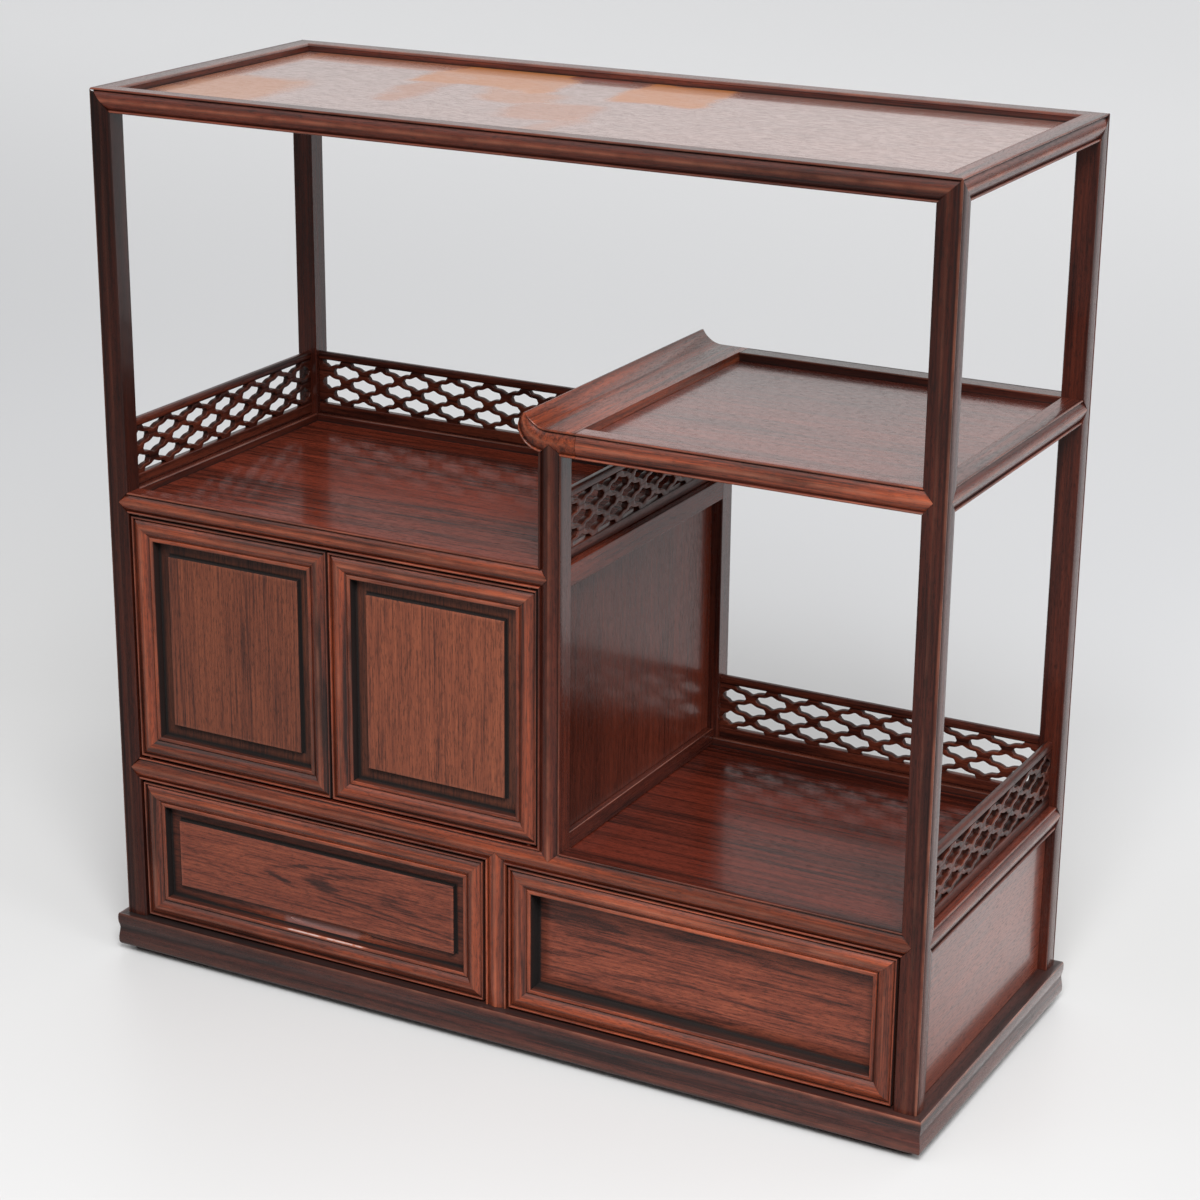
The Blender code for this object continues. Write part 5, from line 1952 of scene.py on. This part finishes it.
@dataclass
class Front(Assembly):
    """A framed front which moves: a mitred moulded frame round a panel.

    clear is its gap on the left, right, bottom and top, dim the painted shading added to its bottom, top,
    left and right member, and corner_shade the share of the panel's painted shade at its corners, from the
    lower left round.
    moat, foot and flat are (inset, painted shade) rows: from the tongue inwards, from the foot of the
    raised field, and on a flat panel; arris is the painted shade and painted highlight over the field's
    round edge. edge_shade is the painted shade on the first points of a frame member's face, by the gap
    round the front, and lip_shade on its last.
    """

    name: str
    raised: bool
    width: float = 0.0240
    sink: float = 0.014
    thick: float = 0.008
    tongue: float = 0.005
    margin: float = 0.015
    lift: float = 0.006
    soft: float = 0.0012
    step: float = 0.0012
    edge: float = 0.0040
    moat: tuple[tuple[float, float], ...] = ((0.003, -1.1), (0.006, -0.8))
    foot: tuple[tuple[float, float], ...] = ((-0.0025, -0.9), (-EASE, -1.8), (0.0, -2.2))
    arris: tuple[float, ...] = (-2.1, -1.2, -0.3, 0.15, 0.25)
    clean: float = 0.004
    flat: tuple[tuple[float, float], ...] = ((0.003, -0.8), (0.014, 0.0))
    clear: tuple[float, float, float, float] = (0.0003, 0.0003, 0.0004, 0.0004)
    corner_shade: tuple[float, float, float, float] = (1.7, 1.5, 1.05, 1.5)
    dim: tuple[float, float, float, float] = (-0.15, 0.0, 0.0, 0.0)
    edge_shade: tuple[float, ...] = (-2.0, -1.2, -0.3)
    lip_shade: float = -1.2
    wear_and_highlight: WornAndHighlight | None = None

    def frame_section(self, deep: float, dark: float) -> Section:
        """Outline of a frame member from its outer edge to its grooved inner edge.

        Args:
            deep: its thickness.
            dark: the painted shade on its inner wall.

        Returns:
            The outline with its face first.
        """
        t, drop, rub = FRONT_MOULDING.face(self.width)
        wide, groove = self.width, self.width - self.tongue - GAP
        near, far = self.sink - GAP, self.sink + self.thick + GAP
        rub[: len(self.edge_shade)] = self.edge_shade
        rub[-1] = self.lip_shade
        # The inner wall and the groove take painted shade, and so does the outer edge next to the face.
        tail = (
            (drop[-1] + self.step, wide, dark),
            (near, wide, -2.1),
            (near, groove, -2.0),
            (far, groove, -1.0),
            (far, wide, 0.0),
            (deep - EASE, wide, 0.0),
            (deep, wide - EASE, 0.0),
            (deep, EASE, 0.0),
            (deep - EASE, 0.0, 0.0),
            (drop[0] + self.edge, 0.0, -0.8),
        )
        return Section.closed((t, drop, rub), tail)

    def build_frame(self, low: Array, high: Array, deep: float) -> Shell:
        """Four members carried between 45 degree mitres.

        Args:
            low: the frame's lowest corner.
            high: its highest corner.
            deep: its thickness.

        Returns:
            The frame's surfaces; uprights take the second material.
        """
        # The uprights' inner walls take darker painted shade than the rails'.
        sections = [self.frame_section(deep, dark) for dark in (-1.0, -2.1)]
        y = low[1]
        low = low + np.array((self.clear[0], 0.0, self.clear[2]))
        high = high - np.array((self.clear[1], 0.0, self.clear[3]))
        members = (
            (Place((0, y, low[2]), (1, 0, 0), (0, 1, 0), (0, 0, 1)), low[0], high[0], 0),
            (Place((0, y, high[2]), (1, 0, 0), (0, 1, 0), (0, 0, -1)), low[0], high[0], 0),
            (Place((low[0], y, 0), (0, 0, 1), (0, 1, 0), (1, 0, 0)), low[2], high[2], 1),
            (Place((high[0], y, 0), (0, 0, 1), (0, 1, 0), (-1, 0, 0)), low[2], high[2], 1),
        )
        shell = Shell()
        # Each member's dim adds painted shading to its whole outline.
        for (place, start, stop, mark), dim in zip(members, self.dim):
            wear_and_highlight = self.wear_and_highlight if place is members[0][0] else None
            ends = End(start + HAIR, by_across=1), End(stop - HAIR, by_across=-1)
            bar(shell, replace(sections[mark], rub=sections[mark].rub + dim), place, *ends, mark, wear_and_highlight)
        return shell

    def build_panel(self, low: Array, high: Array) -> Shell:
        """Rectangles set in and stepped forward, from the panel's back to its field.

        Args:
            low: the panel's lowest corner.
            high: its highest corner.

        Returns:
            The panel's closed surface.
        """
        tongue, inner = self.tongue, self.tongue + self.margin
        sunk = low[1] + (self.lift if self.raised else 0.0)
        # The panel's edge and the moat round it take painted shade, scaled at each corner.
        steps = [(0.0, sunk + self.thick, 0.0), (0.0, sunk, -2.0), (tongue + EASE, sunk, -1.8)]
        steps += [(tongue + inset, sunk, rub) for inset, rub in (self.moat if self.raised else self.flat)]
        if self.raised:
            steps += [(inner + inset, sunk, rub) for inset, rub in self.foot]
            turn = np.linspace(0, math.pi / 2, len(self.arris))
            top = sunk - self.lift
            arc = inner + self.soft * (1 - np.cos(turn)), top + self.soft * (1 - np.sin(turn))
            steps += [*zip(*arc, self.arris), (inner + self.clean, top, 0.0)]
        inset, y, rub = np.transpose(steps)
        x, z = rectangles(low[0] + inset, high[0] - inset, low[2] + inset, high[2] - inset)
        points = np.stack((x, np.broadcast_to(y[:, None], x.shape), z), -1)
        return Shell().tube(points, rub[:, None] * np.array(self.corner_shade))

    def dress(self) -> None:
        """Grain along each member of the frame."""
        self.finish(self.name + "_frame", WARM_FRAME, Grain.ACROSS, Grain.UPRIGHT)


@dataclass
class Door(Front):
    """A door turning on pegs in the rails above and below it."""

    hinge: int = -1
    peg: float = 0.0025
    peg_ease: float = 0.0006
    peg_tip: float = 0.75
    peg_sides: int = 16
    inset: float = 0.010
    back: float = 0.006
    front_low: float = 0.2263
    front_high: float = 0.4867

    def build(self) -> None:
        """The frame with its pegs, and the raised panel."""
        node = self.name + "_frame"
        low, high = corners(node)
        ends = low[2], high[2]
        low[2], high[2] = self.front_low, self.front_high
        shell = self.build_frame(low, high, high[1] - low[1])
        x = low[0] + self.inset if self.hinge < 0 else high[0] - self.inset
        y = low[1] + self.back
        turn = np.linspace(0, 2 * math.pi, self.peg_sides, endpoint=False)
        radius = np.array((self.peg_tip, 1.0, 1.0, self.peg_tip))[:, None] * self.peg
        for start, stop in ((ends[0], low[2]), (high[2], ends[1])):
            z = np.array((start, start + self.peg_ease, stop - self.peg_ease, stop))[:, None] + 0 * turn
            shell.tube(np.stack((x + radius * np.cos(turn), y + radius * np.sin(turn), z), -1), 0.0, 1)
        self.add("mitred", node, shell, body=self.name)
        node = self.name + "_panel"
        self.add("raised", node, self.build_panel(*corners(node)), "door_panel_wood", self.name)

    def dress(self) -> None:
        """Grain along each member, and upright on the panel."""
        super().dress()
        self.finish(self.name + "_panel", DOOR_WOOD, Grain.UPRIGHT)


@dataclass
class Drawer(Front):
    """A drawer: framed front, panel raised or flat, and an open box behind it."""

    side: float = 0.010
    floor: float = 0.007
    side_ease: float = 0.0009
    floor_ease: float = 0.0006
    pull: tuple[float, float, float] = (0.100, 0.010, 0.013)
    pull_shift: float = 0.016
    # Rubbing with a painted highlight inside the finger hollow.
    pull_rub: float = 0.5
    pull_pole: float = 0.02
    pull_rings: int = 25
    pull_sides: int = 24
    clear: tuple[float, float, float, float] = (0.0004, 0.0012, 0.0, 0.0008)

    def build(self) -> None:
        """The frame, the panel with its finger hollow, and the boards of the box."""
        node = self.name + "_frame"
        low, high = corners(node)
        self.add("mitred", node, self.build_frame(low, high, high[1] - low[1]), body=self.name)
        node = self.name + "_panel"
        low, high = corners(node)
        panel = self.add("set", node, self.build_panel(low, high), "drawer_panel_wood", self.name)
        if self.raised:
            x = (low[0] + high[0]) / 2 + self.pull_shift
            z = low[2] + self.tongue + self.margin / 2
            panel.carve(self.hollow(np.array((x, low[1] + self.lift, z))))
        node = self.name + "_box"
        self.add("jointed", node, self.build_box(*corners(node)), "inner_wood", self.name)

    def hollow(self, middle: Array) -> Shell:
        """An ellipsoid for a finger hollow: middle + half sizes times (cos a, sin a cos b, sin a sin b).

        Args:
            middle: the ellipsoid's middle.

        Returns:
            The cutter.
        """
        a = np.linspace(self.pull_pole, math.pi - self.pull_pole, self.pull_rings)[:, None]
        b = np.linspace(0, 2 * math.pi, self.pull_sides, endpoint=False)[None]
        unit = np.stack((np.cos(a) + 0 * b, np.sin(a) * np.cos(b), np.sin(a) * np.sin(b)), -1)
        return Shell().tube(middle + unit * np.array(self.pull) / 2, self.pull_rub)

    def build_box(self, low: Array, high: Array) -> Shell:
        """Two sides, a back and a floor set between them.

        Args:
            low: the box's lowest corner.
            high: its highest corner.

        Returns:
            The box's surfaces; the sides take the second material.
        """
        shell = Shell()
        left, right = low[0] + self.side, high[0] - self.side
        back = high[1] - self.side
        slab(shell, low, (left, high[1], high[2]), self.side_ease, 1)
        slab(shell, (right, low[1], low[2]), high, self.side_ease, 1)
        left, right = left + HAIR, right - HAIR
        slab(shell, (left, back, low[2]), (right, high[1], high[2]), self.side_ease)
        slab(shell, (left, low[1], low[2]), (right, back - HAIR, low[2] + self.floor), self.floor_ease)
        return shell

    def dress(self) -> None:
        """Grain along each member and across the panel; bare wood inside."""
        super().dress()
        self.finish(self.name + "_panel", ARCHED_DRAWER if self.raised else DRAWER_WOOD, Grain.ACROSS)
        self.finish(self.name + "_box", INNER_WOOD, Grain.ACROSS, Grain.DEPTH)


@dataclass
class Studio:
    """Pale floor, soft light and the camera at the photograph's angle."""

    eye: tuple[float, float, float] = (1.3154, -2.4308, 1.3738)
    right: tuple[float, float, float] = (0.8775, 0.4796, 0.0068)
    down: tuple[float, float, float] = (0.1642, -0.2870, -0.9438)
    forward: tuple[float, float, float] = (-0.4506, 0.8292, -0.3306)
    lens: float = 87.593
    shift: tuple[float, float] = (0.01564, 0.00756)
    floor_size: float = 44.0
    floor_points: int = 9
    floor_near: tuple[Colour, Colour] = ((0.60, 0.60, 0.60), (0.63, 0.63, 0.63))
    floor_far: Colour = (0.92, 0.925, 0.94)
    backdrop: Colour = (0.64, 0.645, 0.66)
    room: Colour = (1.0, 1.0, 1.0)
    aim: tuple[float, float, float] = (0.0, 0.0, 0.4)
    sensor: float = 36.0
    farthest: float = 60.0

    def camera(self) -> None:
        """A camera fitted to the photograph's perspective."""
        data = bpy.data.cameras.new("studio_camera")
        data.lens = self.lens
        data.sensor_width = self.sensor
        data.shift_x, data.shift_y = self.shift
        data.clip_end = self.farthest
        camera = placed("studio_camera", data)
        axes = np.array((self.right, self.down, self.forward)) * np.array((1, -1, -1))[:, None]
        columns = np.vstack((axes, self.eye)).T
        camera.matrix_world = Matrix(np.vstack((columns, (0, 0, 0, 1))).tolist())
        bpy.context.scene.camera = camera

    def floor(self) -> None:
        """A wide pale floor with a slight sheen."""
        half = self.floor_size / 2
        side = np.linspace(-half, half, self.floor_points)
        x, y = np.meshgrid(side, side, indexing="ij")
        shell = Shell()
        shell.sheet(shell.add(np.stack((x, y, np.zeros(x.shape)), -1)))
        floor = placed("studio_floor", shell.mesh("studio_floor"))
        material, graph = Graph.of_material("pale_floor")
        x, y, _ = graph.axes(graph.coordinates())
        near = graph.mix(graph.noise(graph.coordinates(), 1.3, 3.0), *self.floor_near)
        near = graph.shade(near, 1.0 - x.rise(0.3, 1.0) * 0.18)
        pale = graph.mix(y.rise(0.2, 1.6), near, self.backdrop)
        pale = graph.mix(y.rise(1.2, 5.5), pale, self.floor_far)
        path = graph.node("ShaderNodeLightPath")
        seen = Value(graph, path.outputs["Is Camera Ray"])
        glossy = Value(graph, path.outputs["Is Glossy Ray"])
        dim = 0.55 + glossy * (y.rise(-0.4, 0.4) * 1.0 - 0.25)
        graph.surface({"Base Color": graph.shade(pale, dim + seen * (1.0 - dim)), "Roughness": 0.45})
        floor.data.materials.append(material)

    def lamp(self, name: str, place: Sequence[float], size: float, power: float) -> None:
        """A square soft light turned towards the cabinet.

        Args:
            name: the lamp's name.
            place: where it hangs.
            size: its side.
            power: in watts.
        """
        data = bpy.data.lights.new(name, "AREA")
        data.size = size
        data.energy = power
        lamp = placed(name, data)
        lamp.visible_camera = False
        lamp.location = place
        away = np.array(place) - np.array(self.aim)
        tilt = math.acos(away[2] / np.linalg.norm(away))
        lamp.rotation_euler = (tilt, 0.0, math.atan2(away[1], away[0]) + math.pi / 2)

    def world(self) -> None:
        """A bright room: pale above, to the right, and in bands above the horizon in front and behind."""
        world = bpy.data.worlds.new("studio_world")
        bpy.context.scene.world = world
        world.use_nodes = True
        graph = Graph(world.node_tree)
        x, y, z = graph.axes(graph.node("ShaderNodeTexCoord").outputs["Generated"])
        front = y * -1.0
        level = 0.07 + z.rise(0.25, 0.95) * 0.45 + x.rise(-0.2, 0.9) * 0.16
        level = level + front.rise(-0.1, 0.7) * z.rise(0.35, 0.7) * 0.95
        level = level + front.rise(0.1, 0.9) * z.rise(-0.05, 0.15) * (1.0 - z.rise(0.3, 0.6)) * 0.2
        level = level + y.rise(0.3, 0.8) * z.rise(0.0, 0.2) * (1.0 - z.rise(0.5, 0.8)) * 0.95
        seen = Value(graph, graph.node("ShaderNodeLightPath").outputs["Is Camera Ray"])
        sockets: dict[int, Feed] = {0: seen}
        for slot, colour, strength in ((1, self.room, level), (2, self.backdrop, 1.0)):
            light = {"Color": (*colour, 1.0), "Strength": strength}
            sockets[slot] = graph.node("ShaderNodeBackground", None, light).outputs[0]
        both = graph.node("ShaderNodeMixShader", None, sockets)
        graph.node("ShaderNodeOutputWorld", None, {"Surface": both.outputs[0]})

    def build(self) -> None:
        """Set the scene's light, floor, camera and view."""
        bpy.context.scene.view_settings.view_transform = "Standard"
        self.camera()
        self.floor()
        self.world()
        self.lamp("key_light", (1.3, -2.3, 3.0), 1.5, 150.0)
        self.lamp("side_light", (3.2, -0.6, 1.8), 1.6, 34.0)


def main() -> None:
    """Build and dress every sub-assembly in order."""
    logging.basicConfig(level=logging.INFO, format="%(message)s")
    carcass = Carcass.measure()
    posts = Posts(carcass)
    uprights = Uprights(carcass)
    rails = ShelfRails(carcass, posts, uprights)
    curl = CurledEnd(carcass)
    assemblies: list[Assembly] = [Base(carcass), posts, uprights, rails, TopFrame(carcass), curl, Boards()]
    assemblies += [
        Gallery("gallery_left", 12, 1),
        Gallery("gallery_partition", 12, 1),
        Gallery("gallery_right", 12, 1),
        Gallery("gallery_back_left", 20, 0),
        Gallery("gallery_back_right", 14, 1),
        Door("door_left", True, hinge=-1),
        # The right door and the right drawer set their own painted shading of members and corners.
        Door("door_right", True, dim=(-0.3, 0.1, 0.0, -0.35), hinge=1),
        # The left drawer's bottom member: rubbing with a painted highlight by its finger hollow.
        Drawer("drawer_left", True, wear_and_highlight=WornAndHighlight(-0.256, -0.150, 0.0228)),
        Drawer(
            "drawer_right", False, sink=0.0215, thick=0.006,
            dim=(-0.5, 0.1, -0.1, -0.45), corner_shade=(1.5, 0.8, 0.8, 1.5),
        ),
    ]
    for assembly in assemblies:
        assembly.build()
    uprights.join({**rails.pieces, **curl.pieces})
    for assembly in assemblies:
        assembly.dress()
        for node, piece in assembly.pieces.items():
            log.info("%s stands for %s, %d faces", piece.object.name, node, len(piece.object.data.polygons))
    Studio().build()


if __name__ == "__main__":
    main()
